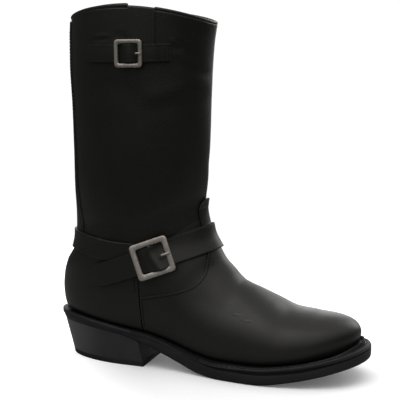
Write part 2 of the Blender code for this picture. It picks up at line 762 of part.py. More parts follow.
def buckle(name, wrap, axis, rows, bars, size, collection, cutters):
    """Square buckle with a centre bar, lying on a strap between two angles of its route, and its prong."""
    ends = []
    for angle in bars:
        lift = route(rows, "lift", angle) + STRAP_THICKNESS + BUCKLE_CLEAR
        ends.append(wrap.spot(axis, angle, route(rows, "up", angle), lift))
    way = (ends[1] - ends[0]).normalized()
    middle = (ends[0] + ends[1]) / 2
    angle = (bars[0] + bars[1]) / 2
    up = middle.z
    steep = wrap.spot(axis, angle, up + 8, 0.0) - wrap.spot(axis, angle, up - 8, 0.0)
    out = way.cross(steep).normalized()
    across = out.cross(way)

    def place(u, v, n):
        return middle + way * u + across * v + out * n

    long = size["long"]
    wide = size["wide"]
    bar = size["bar"]
    thick = size["thick"]
    hole_long = long - 2 * bar
    hole_wide = wide - 2 * bar
    side = thick - BUCKLE_ROUND
    loops = (
        (long - 2 * BUCKLE_FOOT_ROUND, wide - 2 * BUCKLE_FOOT_ROUND, BUCKLE_CORNER, 0.0),
        (long, wide, BUCKLE_CORNER, BUCKLE_FOOT_ROUND),
        (long, wide, BUCKLE_CORNER, side),
        (long - 2 * BUCKLE_ROUND, wide - 2 * BUCKLE_ROUND, BUCKLE_CORNER, thick),
        (hole_long + 2 * BUCKLE_ROUND, hole_wide + 2 * BUCKLE_ROUND, BUCKLE_HOLE_CORNER, thick),
        (hole_long, hole_wide, BUCKLE_HOLE_CORNER, side),
        (hole_long, hole_wide, BUCKLE_HOLE_CORNER, 0.0),
    )
    rings = []
    for across_long, across_wide, radius, height in loops:
        rings.append([place(u, v, height) for u, v in rounded_square(across_long, across_wide, radius)])
    frame = loft(name, rings, False, collection, PEWTER)

    turns = [2 * math.pi * (k + 0.5) / ROUND_STEPS for k in range(ROUND_STEPS)]
    radius = size["centre_bar"]
    half = (wide - bar) / 2
    rod = []
    for v in (-half, half):
        rod.append([place(radius * math.cos(a), v, radius * (math.sin(a) - CENTRE_BAR_DROP)) for a in turns])
    centre_bar = loft(name + "_bar", rod, True, cutters, PEWTER)
    centre_bar.hide_render = True
    centre_bar.display_type = "WIRE"
    combine(frame, centre_bar, "UNION")

    radius = size["prong"]
    start = hole_long / 2 - PRONG_INSIDE
    end = long / 2 - PRONG_SHORT
    height = thick + GAP + radius
    pin = []
    for share, girth in PRONG:
        u = start + (end - start) * share
        reach = girth * radius
        pin.append([place(u, reach * math.cos(a), height + reach * math.sin(a)) for a in turns])
    loft(name.replace("buckle", "prong"), pin, True, collection, PEWTER)


def make_binding(wrap, collection):
    """Rolled binding on the collar, in two runs between the pull straps."""
    wall = wrap.reach(COLLAR_AXIS, PULL_ANGLE, PULL_FOOT)
    clear = math.degrees((PULL_HALF_WIDTH + 2 * GAP) / wall)
    runs = (
        ("collar_binding_front", -PULL_ANGLE + clear, PULL_ANGLE - clear),
        ("collar_binding_rear", PULL_ANGLE + clear, 360 - PULL_ANGLE - clear),
    )
    for name, start, end in runs:
        rings = []
        for i in range(BINDING_STEPS + 1):
            angle = start + (end - start) * i / BINDING_STEPS
            up = wrap.rim_up(COLLAR_AXIS, angle)
            reach = wrap.reach(COLLAR_AXIS, angle, up - RIM_PROBE)
            way = Vector((math.cos(math.radians(angle)), math.sin(math.radians(angle)), 0))
            centre = Vector((COLLAR_AXIS, 0, up + 2 * GAP + BINDING_RADIUS)) + way * (reach - WALL / 2)
            turns = [2 * math.pi * (k + 0.5) / ROUND_STEPS for k in range(ROUND_STEPS)]
            spokes = [way * math.cos(turn) + Vector((0, 0, math.sin(turn))) for turn in turns]
            rings.append([centre + BINDING_RADIUS * spoke for spoke in spokes])
        loft(name, rings, True, collection, LEATHER)


def make_pull_straps(wrap, collection):
    """Strap folded over the collar at each side."""
    outside = 1.2 * GAP
    inside = -WALL - 2 * GAP
    face = outside + PULL_THICKNESS
    back = inside - PULL_THICKNESS
    fold = PULL_FOLD * PULL_THICKNESS
    for name, middle in (("pull_strap_outer", -PULL_ANGLE), ("pull_strap_inner", PULL_ANGLE)):
        rings = []
        wall = wrap.reach(COLLAR_AXIS, middle, PULL_FOOT)
        for k in (-2, -1, 0, 1, 2):
            angle = middle + math.degrees(PULL_HALF_WIDTH * k / 2 / wall)
            rim = wrap.rim_up(COLLAR_AXIS, angle)
            under = rim + 2 * GAP
            over = under + PULL_FOLD_RISE * PULL_THICKNESS
            near, far = (rim - drop for drop in PULL_BENDS)
            profile = (
                (face, PULL_FOOT),
                (face, near),
                (face, rim + GAP),
                (outside + fold, over),
                (inside - fold, over),
                (back, rim + GAP),
                (back, near),
                (back, far),
                (back, PULL_INSIDE_FOOT),
                (inside, PULL_INSIDE_FOOT),
                (inside, far),
                (inside, near),
                (inside, under),
                (outside, under),
                (outside, near),
                (outside, PULL_FOOT),
            )
            turn = math.radians(angle)
            ring = []
            for lift, up in profile:
                distance = wrap.reach(COLLAR_AXIS, angle, min(up, rim - RIM_PROBE)) + lift
                ring.append((COLLAR_AXIS + distance * math.cos(turn), distance * math.sin(turn), up))
            rings.append(ring)
        loft(name, rings, True, collection, LEATHER)


def main():
    clear_scene()
    boot = add_collection("engineer_boot")
    cutters = add_collection("cutters")
    make_outsole(boot)
    make_welt(boot)
    make_insole(boot)
    make_heel(boot)
    make_upper(boot)
    make_vamp(boot, cutters)
    make_counter(boot, cutters)
    make_back_strip(boot, cutters)
    make_rear_strap(boot, cutters)
    wrap = Wrap()
    strap("ankle_strap_front", wrap, ANKLE_AXIS, ANKLE_ROUTE, ANKLE_STRAP_WIDTH, ANKLE_STEP, boot)
    strap("top_strap", wrap, COLLAR_AXIS, TOP_ROUTE, TOP_STRAP_WIDTH, TOP_STEP, boot)
    buckle("ankle_buckle", wrap, ANKLE_AXIS, ANKLE_ROUTE, ANKLE_BARS, ANKLE_BUCKLE, boot, cutters)
    buckle("top_buckle", wrap, COLLAR_AXIS, TOP_ROUTE, TOP_BARS, TOP_BUCKLE, boot, cutters)
    make_binding(wrap, boot)
    make_pull_straps(wrap, boot)


main()
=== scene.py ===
"""Looks of a right-foot engineer boot with a western heel: its pieces, finishes, light and camera."""

import math

import bmesh
import bpy
import numpy as np
from mathutils import Matrix, Vector
from mathutils.bvhtree import BVHTree

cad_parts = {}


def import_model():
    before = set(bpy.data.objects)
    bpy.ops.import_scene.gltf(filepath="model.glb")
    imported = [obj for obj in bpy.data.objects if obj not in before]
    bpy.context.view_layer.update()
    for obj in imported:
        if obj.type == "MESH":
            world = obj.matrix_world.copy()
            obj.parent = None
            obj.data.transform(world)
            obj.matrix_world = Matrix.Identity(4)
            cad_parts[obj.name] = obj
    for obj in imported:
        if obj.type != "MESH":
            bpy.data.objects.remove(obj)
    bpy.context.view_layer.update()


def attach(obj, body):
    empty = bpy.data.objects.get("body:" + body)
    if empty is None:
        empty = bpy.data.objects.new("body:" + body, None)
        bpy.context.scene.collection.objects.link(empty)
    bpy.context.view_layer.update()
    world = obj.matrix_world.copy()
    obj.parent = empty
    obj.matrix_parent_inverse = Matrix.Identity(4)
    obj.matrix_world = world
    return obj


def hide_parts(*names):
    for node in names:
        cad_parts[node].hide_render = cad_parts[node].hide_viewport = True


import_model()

# Sizes are in millimetres. "along" runs from the back of the heel to the toe, "up" starts at the floor,
# and a side is OUTER or INNER, the sign of its y.
MM = 0.001
OUTER = -1
INNER = 1
ORIGIN_ALONG = 54.0

# The camera, set by the photograph.
AIM_ALONG = 150.0
CAMERA_TURN = 17.1
CAMERA_AWAY = 841.0
CAMERA_UP = 267.7
CAMERA_YAW = 0.76
CAMERA_PITCH = -7.58
CAMERA_ROLL = 0.5
FOCAL_PIXELS = 911.7
PICTURE_PIXELS = 400
SENSOR = 36.0

# Line where the upper meets the welt, seen from above.
HEEL_BACK = 4.8
HEEL_ROUND = 70.0
HEEL_HALF_WIDTH = 31.8
TOE_TIP = 290.5
TOE_SIDE = 0.5
BALL = {OUTER: 205.0, INNER: 222.0}
BALL_HALF_WIDTH = {OUTER: 46.0, INNER: 43.0}
WAIST_COLUMNS = ("along", "outer", "inner")
WAIST = (
    (70.0, 31.8, 31.8),
    (95.0, 32.0, 30.0),
    (120.0, 33.4, 28.2),
    (150.0, 38.0, 30.6),
    (180.0, 43.8, 36.8),
    (205.0, 46.0, 41.6),
    (222.0, 45.5, 43.0),
)
# Steps of the welt line round the heel, along the waist and round the toe.
HEEL_STEPS = 26
WAIST_STEPS = 34
TOE_STEPS = 32

# Seat is the top of the welt, tread the underside of the outsole; reach and edge are how far the welt and
# the outsole stand outside the welt line.
SOLE_COLUMNS = ("along", "seat", "tread", "reach", "edge")
SOLE = (
    (-4.0, 44.0, 34.8, 8.6, 7.4),
    (20.0, 42.4, 34.2, 4.9, 4.6),
    (45.0, 39.4, 32.4, 3.8, 3.8),
    (70.0, 35.8, 29.4, 3.7, 3.7),
    (93.0, 32.6, 22.9, 3.9, 3.9),
    (112.0, 28.6, 15.9, 4.3, 4.3),
    (132.0, 22.6, 8.6, 4.9, 4.9),
    (152.0, 17.6, 1.9, 5.5, 5.5),
    (170.0, 15.4, 0.0, 6.0, 6.0),
    (205.0, 15.6, 0.0, 6.5, 6.5),
    (238.0, 19.0, 4.9, 7.2, 7.2),
    (262.0, 23.9, 10.2, 8.5, 8.5),
    (282.0, 28.8, 15.4, 10.0, 10.0),
    (302.0, 35.0, 20.8, 11.0, 11.0),
)
WELT_THICKNESS = 4.0
WELT_INSIDE = -5.0
SOLE_GAP = 0.05
INSOLE_EDGE = -5.2
INSOLE_RISE = 1.5
HEEL_BREAST = 93.0
HEEL_LEAN = 10.0
BREAST_LEAN = 5.0
HEEL_INSET = 0.8
HEEL_BACK_INSET = 2.4
STACK_SHARE = 0.88
LIFT_SHARE = 0.89
LIFT_THICKNESS = 4.5

# Sections of the upper over the foot. Each runs from a point on the welt line up to a point on the ridge;
# bulge is how far the widest place stands outside the welt line, and lies at "equator" of the height.
FOOT_COLUMNS = (
    "along", "top_along", "top_up", "middle", "bulge_outer", "bulge_inner", "equator", "crown", "base",
)
FOOT = (
    (290.5, 290.3, 39.5, 0.5, 0.0, 0.0, 0.42, 2.2, 2.0),
    (250.0, 253.0, 56.3, 1.0, 1.4, 1.4, 0.32, 2.2, 2.0),
    (225.0, 231.0, 59.2, 1.2, 1.5, 1.5, 0.29, 2.15, 2.0),
    (205.0, 214.0, 66.9, 1.2, 1.5, 1.5, 0.28, 2.1, 2.0),
    (180.0, 198.0, 74.5, 1.0, 1.7, 2.2, 0.28, 2.0, 2.0),
    (155.0, 184.0, 80.8, 0.8, 2.0, 3.0, 0.29, 1.95, 2.0),
    (130.0, 170.5, 93.4, 0.5, 2.6, 4.4, 0.31, 1.9, 2.0),
    (105.0, 161.2, 103.8, 0.2, 3.2, 5.2, 0.34, 1.9, 2.0),
    (80.0, 156.0, 115.0, 0.0, 4.0, 4.6, 0.37, 1.95, 2.1),
    (55.0, 151.4, 125.0, 0.0, 4.2, 4.2, 0.41, 2.0, 2.1),
    (30.0, 148.0, 134.0, 0.0, 4.2, 4.2, 0.44, 2.05, 2.2),
    (4.8, 145.4, 142.0, 0.0, 4.2, 4.2, 0.46, 2.05, 2.2),
)
TOE_CAP = 250.0
TOE_ROUND = 3.1
TOE_TOP_SLOPE = -0.04
# The bulge fades out where the section is narrower than this, at the toe.
BULGE_FADE = 12.0

# Closed sections from the heel up the shaft. Rise lifts the sides of the scalloped collar.
SHAFT_COLUMNS = ("back", "back_up", "front", "front_up", "half_width", "equator", "crown", "base", "rise")
SHAFT = (
    (4.8, 44.2, 145.4, 142.0, 36.0, 0.46, 2.05, 2.2, 0.0),
    (3.1, 55.0, 144.3, 146.5, 36.2, 0.46, 2.05, 2.2, 0.0),
    (2.2, 66.0, 143.7, 150.5, 36.5, 0.46, 2.05, 2.2, 0.0),
    (3.2, 78.0, 143.4, 155.0, 36.9, 0.46, 2.05, 2.2, 0.0),
    (6.5, 91.0, 143.7, 160.5, 37.5, 0.46, 2.05, 2.15, 0.0),
    (14.0, 105.0, 144.4, 167.0, 38.3, 0.46, 2.05, 2.1, 0.0),
    (16.5, 119.0, 145.1, 175.0, 39.2, 0.47, 2.05, 2.1, 0.0),
    (16.6, 138.0, 145.8, 186.0, 40.4, 0.48, 2.05, 2.1, 0.0),
    (15.2, 165.0, 146.4, 202.0, 42.0, 0.49, 2.05, 2.1, 0.0),
    (14.4, 200.0, 146.9, 223.0, 43.8, 0.5, 2.05, 2.05, 0.0),
    (13.4, 240.0, 147.3, 248.0, 45.4, 0.5, 2.05, 2.05, 0.0),
    (11.4, 280.0, 148.3, 279.0, 46.8, 0.5, 2.05, 2.05, 1.5),
    (11.4, 304.0, 149.8, 301.0, 47.5, 0.5, 2.05, 2.05, 6.0),
    (11.9, 320.5, 152.0, 316.5, 48.0, 0.5, 2.05, 2.05, 10.5),
)
WALL = 2.4
UPPER_CLEAR = 0.05
LOW_STEPS = 18
HIGH_STEPS = 36
TOE_ROWS = 40
FOOT_ROWS = 54
HEEL_ROWS = 34
SHAFT_ROWS = 200
# How far the upper turns in at the welt, and from what height; and up to what height its lowest part is
# painted dark as shade.
TUCK = 2.5
TUCK_HEIGHT = 13.0
TUCK_LINE = (45.0, 240.0)
PAINTED_SHADE_HEIGHT = 4.6
# Bend between foot and shaft that is smoothed: its ends on the side view, its reach, and where it starts.
INSTEP = ((4.8, 44.0), (145.4, 142.0))
INSTEP_REACH = 8.0
INSTEP_START = 85.0
INSTEP_PASSES = 15

# Soft troughs worn or pulled into the leather: along and up of one end and of the other, side, width, depth.
# Depth is negative for a ridge; side 0 goes right over the boot.
FOLDS = (
    (108.0, 252.0, 146.0, 263.0, OUTER, 8.0, -0.5),
    (98.0, 239.0, 146.0, 250.0, OUTER, 9.0, 0.35),
    (60.0, 262.0, 95.0, 252.0, OUTER, 10.0, 0.3),
    (126.0, 296.0, 140.0, 288.0, OUTER, 4.0, 0.5),
    (130.0, 281.0, 146.0, 272.0, OUTER, 5.0, 0.4),
    (76.0, 305.0, 84.0, 302.0, OUTER, 3.5, 0.5),
    (55.0, 305.0, 61.0, 304.5, OUTER, 1.4, -0.7),
    (55.0, 302.2, 64.0, 301.6, OUTER, 1.4, 0.6),
    (124.5, 301.0, 127.0, 297.0, OUTER, 1.6, -0.8),
    (128.0, 301.0, 130.5, 295.0, OUTER, 1.6, 0.6),
    (112.0, 111.0, 153.0, 123.0, 0, 11.0, 2.0),
    (176.0, 88.0, 182.0, 82.0, 0, 2.5, 0.5),
    (156.0, 94.0, 176.0, 82.0, OUTER, 6.0, 0.5),
    (150.0, 68.0, 186.0, 58.0, OUTER, 9.0, 0.5),
    (170.0, 50.0, 215.0, 46.0, OUTER, 9.0, -0.3),
    (120.0, 60.0, 150.0, 66.0, INNER, 7.0, 0.6),
    (100.0, 200.0, 140.0, 190.0, INNER, 9.0, 0.8),
    (40.0, 214.0, 96.0, 204.0, INNER, 10.0, 0.7),
    (30.0, 132.0, 70.0, 134.0, 0, 7.0, 0.5),
)
# How softly a fold of one side ends at the front and the back, and how many widths it is felt at.
SIDE_FADE = 0.35
FOLD_REACH = 3

# Panels on the upper. Seams are drawn from the side, as along and up; the tongue and the back strip from the
# front and the back.
OVERLAY_HEIGHT = 1.5
STRIP_HEIGHT = 1.4
SEAM_CLEAR = 0.8
SIDE_SEAM = ((94.0, 33.0), (93.6, 45.0), (92.6, 58.0), (92.0, 66.5), (90.2, 88.0), (89.0, 106.0))
SIDE_SEAM_CORNER = 3
VAMP_SEAM = (
    SIDE_SEAM[SIDE_SEAM_CORNER],
    (104.0, 68.8),
    (118.0, 71.8),
    (131.0, 75.3),
    (140.5, 79.4),
    (146.8, 85.2),
    (150.1, 93.0),
    (150.4, 104.0),
    (149.5, 118.0),
)
TONGUE_HALF_WIDTH = 11.0
TONGUE_FOOT = 110.0
TONGUE_TOP = 157.5
TONGUE_FLARE = 2.0
TONGUE_FLARE_FOOT = 136.0
TONGUE_STEPS = 14
COUNTER_TOP = ((89.0, 106.0), (60.0, 108.0), (30.0, 111.0), (-25.0, 113.5))
# Up and half width of the back strip.
STRIP = (
    (114.5, 27.5),
    (129.0, 26.0),
    (143.0, 24.0),
    (162.0, 22.0),
    (200.0, 20.0),
    (238.0, 19.5),
    (319.0, 19.0),
)
PANEL_FRONT = 310.0
PANEL_BACK = -25.0
PANEL_FOOT = 3.0
PANEL_FOOT_STEP = 8.0
WHOLE_LENGTH = (-50.0, 400.0)
# Steps from row to row: side seam and counter's top, vamp seam, back strip and rear strap.
SIDE_SEAM_STEPS = 3
VAMP_SEAM_STEPS = 5
STRIP_STEPS = 4
# Rounding of a cut edge: sideways and down, step by step; the wall then drops to the leather below.
EDGE_ROUND = ((0.2, 0.1), (0.22, 0.35))

# Straps. A route runs round an upright axis in the shaft: angle 0 is the front, negative the outer side;
# lift is the clearance under the strap.
ANKLE_AXIS = 80.0
COLLAR_AXIS = 81.0
STRAP_THICKNESS = 1.8
REAR_STRAP_LIFT = 1.8
REAR_STRAP_SKIRT = 0.4
# Along, top and foot of the rear half of the ankle strap.
REAR_STRAP = (
    (-25.0, 124.5, 106.5),
    (12.0, 124.0, 106.0),
    (31.0, 122.4, 105.0),
    (49.0, 120.0, 101.5),
    (75.0, 117.0, 97.5),
    (107.0, 116.0, 95.5),
)
ROUTE_COLUMNS = ("angle", "up", "lift")
ANKLE_ROUTE = (
    (-131.0, 82.5, 4.4),
    (-112.0, 88.5, 4.9),
    (-90.0, 95.0, 4.9),
    (-75.0, 99.6, 4.8),
    (-70.0, 101.1, 4.8),
    (-57.0, 104.9, 9.1),
    (-46.0, 108.6, 4.6),
    (-41.0, 110.5, 3.8),
    (-28.5, 115.5, 2.7),
    (-16.5, 120.3, 2.6),
    (0.0, 123.6, 2.6),
    (16.5, 120.3, 2.6),
    (28.5, 115.5, 2.7),
    (40.0, 111.0, 4.6),
    (54.0, 107.0, 4.9),
    (74.0, 104.0, 4.9),
)
ANKLE_STRAP_WIDTH = 22.0
ANKLE_BARS = (-75.0, -41.5)
TOP_ROUTE = (
    (-135.0, 289.5, 0.6),
    (-122.0, 289.3, 0.7),
    (-105.0, 289.1, 1.6),
    (-95.5, 289.0, 2.0),
    (-82.5, 289.0, 6.3),
    (-70.5, 289.2, 2.4),
    (-58.5, 289.7, 2.0),
    (-51.0, 290.0, 0.7),
    (-43.5, 290.2, 0.3),
)
TOP_STRAP_WIDTH = 16.4
TOP_BARS = (-95.5, -70.5)
STRAP_STEP = 0.8
TIP_LENGTH = 9.0
TIP_SHARE = 0.3
FAR_LIFT = 8.0
# Cross-section of a strap: share of its half width, and share of its thickness; the points that its cut edges
# start from, which take a dark matte finish, as dyed edges and as painted shade; and the share of the
# thickness above which its face lies.
STRAP_PROFILE = (
    (-1.0, 0.25), (-0.97, 0.0), (-0.6, 0.0), (0.0, 0.0), (0.6, 0.0), (0.97, 0.0), (1.0, 0.25),
    (1.0, 0.7), (0.975, 0.92), (0.93, 1.0), (0.82, 0.97), (0.6, 1.0), (0.3, 1.04), (0.0, 1.06), (-0.3, 1.04),
    (-0.6, 1.0), (-0.82, 0.97), (-0.93, 1.0), (-0.975, 0.92), (-1.0, 0.7),
)
CUT_EDGES = (5, 6, 7, 8, 17, 18, 19, 0)
STRAP_FACE = 0.95

# Buckles: length and width, breadth and thickness of the bar, radii of the centre bar and the prong, and how
# far inside the end bar the prong starts.
BUCKLE_CLEAR = 1.5
ANKLE_BUCKLE = {
    "long": 36.0, "wide": 34.0, "bar": 5.2, "thick": 2.6, "centre_bar": 1.3, "prong": 1.1, "inside": 4.0,
}
TOP_BUCKLE = {
    "long": 25.7, "wide": 24.6, "bar": 3.6, "thick": 2.4, "centre_bar": 1.1, "prong": 0.9, "inside": 1.8,
}
BUCKLE_CORNER = 3.2
BUCKLE_HOLE_CORNER = 1.8
CORNER_STEPS = 7
BUCKLE_PROBE = 8.0
CENTRE_BAR_SHORT = 0.6
CENTRE_BAR_SINK = 0.5
ROUND_STEPS = 16
PRONG_SHORT = 0.6
PRONG_CLEAR = 0.2
# Share of the prong's length, and of its girth there.
PRONG = ((0.0, 0.7), (0.05, 0.9), (0.12, 1.0), (0.8, 1.0), (0.9, 0.9), (0.97, 0.65), (1.0, 0.3))
# Cross-section of a buckle's bar: share of the way in from its outer edge, and share of its thickness.
BUCKLE_PROFILE = (
    (0.06, 0.0), (0.0, 0.12), (0.0, 0.62), (0.04, 0.8), (0.12, 0.93), (0.24, 1.0), (0.7, 0.97),
    (0.86, 0.88), (0.96, 0.72), (1.0, 0.5), (1.0, 0.0),
)

# Collar: its rolled binding, which rises to a tip by the outer pull strap, and the straps folded over it.
BINDING_RADIUS = 1.8
BINDING_RISE = 1.4
BINDING_TIP = 1.2
BINDING_END = 0.7
BINDING_CLEAR = 0.4
BINDING_STEPS = 90
BINDING_ROUND_STEPS = 14
TIP_ANGLE = 279.5
TIP_SPREAD = 40.0
PULL_ANGLE = 71.0
PULL_HALF_WIDTH = 11.2
PULL_FOOT = 291.0
PULL_INSIDE_FOOT = 270.0
PULL_THICKNESS = 1.6
PULL_CLEAR = 0.3
PULL_INSIDE_CLEAR = 0.4
PULL_FOLD_RISE = 0.5
PULL_FOLD_CLEAR = 0.2
PULL_STEPS = 12
PULL_RUNS = 8
PULL_SEAM_SHARE = 0.78
PULL_SEAM_FOOT = 2.0
PULL_SEAM_TOP = 1.0
PULL_SEAM_STEPS = 15
RIM_PROBE = 2.0

# Thread.
STITCH_PITCH = 3.1
STITCH_LENGTH = 2.3
STITCH_RADIUS = 0.22
STITCH_RISE = 0.35
# Painted shade under the stitches: half width of a flat near-black strip, and how far it lies over the
# leather.
STITCH_SHADE_HALF_WIDTH = 0.36
STITCH_SHADE_LIFT = 0.06
# How far rows of stitches lie inside the edges of their panels, and where they start and end.
VAMP_STITCH_INSET = 1.9
COUNTER_STITCH_INSET = 2.8
STRIP_STITCH_INSET = 2.0
VAMP_STITCH_FOOT = PANEL_FOOT + 2.2
VAMP_STITCH_TOP = 118.0
COUNTER_STITCH_FOOT = SIDE_SEAM[SIDE_SEAM_CORNER][1] + 3.0
STRIP_STITCH_FOOT = 118.0
STRIP_STITCH_TOP = 312.0
WELT_STITCH_PITCH = 5.2
WELT_STITCH_LENGTH = 4.2
WELT_STITCH_RADIUS = 0.55
WELT_STITCH_OUT = 0.92
# A row of stitches is laid in steps, over directions evened out over so many steps each way.
SEAM_STEP = 1.0
EVEN_STEPS = 4
SHORTEST_SEAM = 4
# Rows of stitches on the end of the top strap: rings of the strap that they lie on, and their stitches.
END_ROWS = (-3, -7)
EDGE_ROWS = -34
END_PITCH = 2.2
END_LENGTH = 1.7
END_RADIUS = 0.3

# Fine distances for joining points, dropping flat faces and cutting edges, and room left round a cut.
JOIN_CLOSE = 0.004
FLAT_CLOSE = 0.001
CUT_CLOSE = 0.002
CUT_ROOM = 5.0
PANEL_ROOM = 4.0
TINY = 1e-6

# Scuffs on the outer side of the vamp: middle and half size, along, across and up.
SCUFFS = (((185.3, -38.5, 58.9), (6.0, 6.0, 1.8)), ((196.0, -40.0, 55.0), (7.0, 6.0, 1.5)))

# Tones of the leather and its scuffs, the lining, the buckles, the thread, and the painted shade of the
# channel that it lies in.
LEATHER_TONES = ((0.004, 0.0039, 0.0035, 1), (0.007, 0.0068, 0.006, 1))
SCUFF_TONE = (0.05, 0.049, 0.046, 1)
LINING_TONES = ((0.30, 0.21, 0.13, 1), (0.22, 0.15, 0.095, 1))
PEWTER_TONES = ((0.4, 0.365, 0.325, 1), (0.52, 0.48, 0.435, 1))
THREAD_TONE = (0.012, 0.012, 0.012, 1)
STITCH_SHADE_TONE = (0.003, 0.003, 0.003, 1)
# Tones of the sole's edge; of the painted shade, a dark matte finish in the sole's channel and other shaded
# places; of the heel; and of its breast, painted darker as shade.
SOLE_TONES = ((0.006, 0.006, 0.006, 1), (0.012, 0.012, 0.012, 1))
PAINTED_SHADE_TONES = ((0.008, 0.008, 0.008, 1), (0.012, 0.012, 0.012, 1))
HEEL_TONES = ((0.021, 0.021, 0.023, 1), (0.029, 0.029, 0.032, 1))
BREAST_SHADE_TONES = ((0.012, 0.012, 0.013, 1), (0.018, 0.018, 0.019, 1))
# Painted sheen: a lighter tone at the back of the boot, for the light that it catches there, and the lengths
# in metres between which it fades out.
SOLE_SHEEN = ((0.06, 0.06, 0.063, 1), -0.056, -0.042)
HEEL_SHEEN = ((0.1, 0.1, 0.105, 1), -0.05, 0.01)
# How much duller the lines are for each millimetre of their depth, and at most.
LINE_DULLS = 1.25
LINE_DULLS_MOST = 0.15

# Edge of the outsole from the tread up: how far in from the rim, and share of the way up. Its last three rows
# make the channel under the welt, whose faces take a dark matte finish as painted shade.
OUTSOLE_EDGE = (
    (1.8, 0.0), (1.0, 0.02), (0.45, 0.07), (0.15, 0.16), (0.0, 0.3), (0.0, 0.55), (0.05, 0.72), (0.25, 0.8),
    (1.5, 0.85), (1.5, 1.0),
)
# Edge of the welt from its underside up: how far in from the rim, and share of the way up.
WELT_EDGE = (
    (1.5, 0.0), (1.0, 0.06), (0.35, 0.16), (0.05, 0.3), (0.0, 0.6), (0.2, 0.82), (0.6, 0.95), (1.1, 1.0),
)
# The channel takes the outsole's edge above this share and the welt's below it; and how much of it there is,
# along the boot.
SOLE_CHANNEL_STARTS = {"outsole": 0.7, "welt": 0.4}
SOLE_CHANNEL_PLACES = (60.0, 100.0, 140.0, 170.0, 200.0, 245.0, 280.0, 300.0)
SOLE_CHANNEL_SHARES = (0.06, 0.1, 0.12, 0.8, 1.0, 1.0, 0.5, 0.3)
# Lip of the welt: where it lies between upper and rim, how far the top slopes down to it, and its size.
LIP_COLUMNS = ("along", "place", "drop", "size")
LIP = (
    (60.0, 0.5, 0.0, 0.1),
    (110.0, 0.55, 0.5, 0.0),
    (145.0, 0.6, 1.9, 0.1),
    (160.0, 0.6, 1.8, 0.7),
    (175.0, 0.6, 1.4, 1.0),
    (190.0, 0.55, 0.9, 1.0),
    (205.0, 0.5, 0.5, 1.0),
    (225.0, 0.42, 0.1, 1.0),
    (250.0, 0.36, 0.0, 1.0),
)
LIP_FLAT = 0.22
# Its section: how far out from its middle, and how far up.
WELT_LIP = ((0.9, 0.0), (0.5, 1.2), (0.0, 1.7), (-0.5, 1.4), (-0.9, 0.4))
# Round the toe the lip stands up and the rim leans in, by these shares along the boot.
TOE_RISE = (225.0, 268.0, 294.0)
TOE_RISE_SHARES = (0.0, 0.1, 1.0)
TOE_LIP = 2.5
TOE_SLANT = 2.0
# Along the waist the welt's top takes the dark finish as painted shade where it faces up this much, so it
# shows no highlight.
SHADED_WAIST = (80.0, 152.0)
SHADED_TOP = 0.15
# Where the outsole runs flush into the heel under it.
SEAT_PLACES = (80.0, 98.0)
SEAT_SHARES = (1.0, 0.0)
# Rings that close the faces of the sole towards its middle line.
CORE_SHARES = (0.9, 0.7, 0.45, 0.2, 0.0)
INSOLE_BEVEL = 0.5

# Heel: steps across its breast, and its clearance under the outsole.
BREAST_STEPS = 8
HEEL_CLEAR = 0.3
# Faint joints of the heel's lifts: how many lifts, and how deep and how high a joint is.
STACK_LIFTS = 5
LIFT_LINE = 0.02
LIFT_LINE_HALF = 0.012
LIFT_CLEAR = 0.2
# Section of the top lift: part of the heel's depth, height, and how far in.
LIFT_EDGE = (
    (LIFT_SHARE, LIFT_THICKNESS, 0.4),
    (0.9, LIFT_THICKNESS - 0.4, 0.0),
    (0.99, 0.5, 0.0),
    (1.0, 0.0, 0.5),
)

# Lights, in metres and watts: name, place, aim, width, height, power, and whether glossy things mirror them.
LIGHTS = (
    ("overhead", (-0.12, -0.5, 1.15), (0.05, -0.1, 0.0), 1.0, 0.8, 1.75, True),
    ("table", (0.1, 0.1, 1.6), (0.1, 0.0, 0.0), 2.0, 1.6, 20.0, False),
)

# The studio's own light: dim in front of the boot, brighter overhead and behind. Each band has a direction,
# the shares of it between which the band brightens, and a strength.
SKY_BEFORE = 0.055
SKY_BANDS = {
    "overhead": ((0.0, -0.5, 0.87), 0.35, 1.0, 0.72),
    "behind": ((-0.1, 0.85, 0.52), 0.62, 0.92, 0.34),
    "horizon": ((-0.25, 0.96, 0.12), 0.93, 1.0, 2.0),
    "rim": ((0.42, 0.8, 0.43), 0.9, 1.0, 2.0),
    "left": ((-0.95, -0.3, 0.1), 0.5, 1.0, 0.03),
    "right": ((0.7, 0.3, 0.65), 0.8, 1.0, 0.4),
}
BACKDROP = 1.05

# The table top, in metres.
FLOOR_MIDDLE = (0.1, 0.1, 0.0)
FLOOR_HALF = (0.75, 0.4, 1.0)
# Its tones as the boot and as the camera see it.
FLOOR_TONES = ((0.2, 0.2, 0.2, 1), (0.92, 0.92, 0.92, 1))
# The table's own glow near the boot and away from it, and the distances between which it grows.
FLOOR_CENTRE = (0.15, -0.02, 0.0)
FLOOR_FADE = (0.1, 0.22)
FLOOR_GLOW_NEAR = (0.1, 0.1, 0.1, 1)
FLOOR_GLOW_FAR = (0.6, 0.6, 0.6, 1)


def world(point):
    return Vector(((point[0] - ORIGIN_ALONG) * MM, point[1] * MM, point[2] * MM))


def drawn(point):
    """The reverse of world: along, across and up in millimetres."""
    return Vector((point[0] / MM + ORIGIN_ALONG, point[1] / MM, point[2] / MM))


def column(rows, columns, name):
    return [row[columns.index(name)] for row in rows]


def even_steps(start, end, count):
    """Values from start to end in a number of even steps."""
    return [start + (end - start) * i / count for i in range(count + 1)]


def round_turns(count):
    """Angles that go once round."""
    return even_steps(0.0, 2 * math.pi, count)[:-1]


def heading(angle):
    """Level direction at an angle, in degrees, from the front."""
    return Vector((math.cos(math.radians(angle)), math.sin(math.radians(angle)), 0))


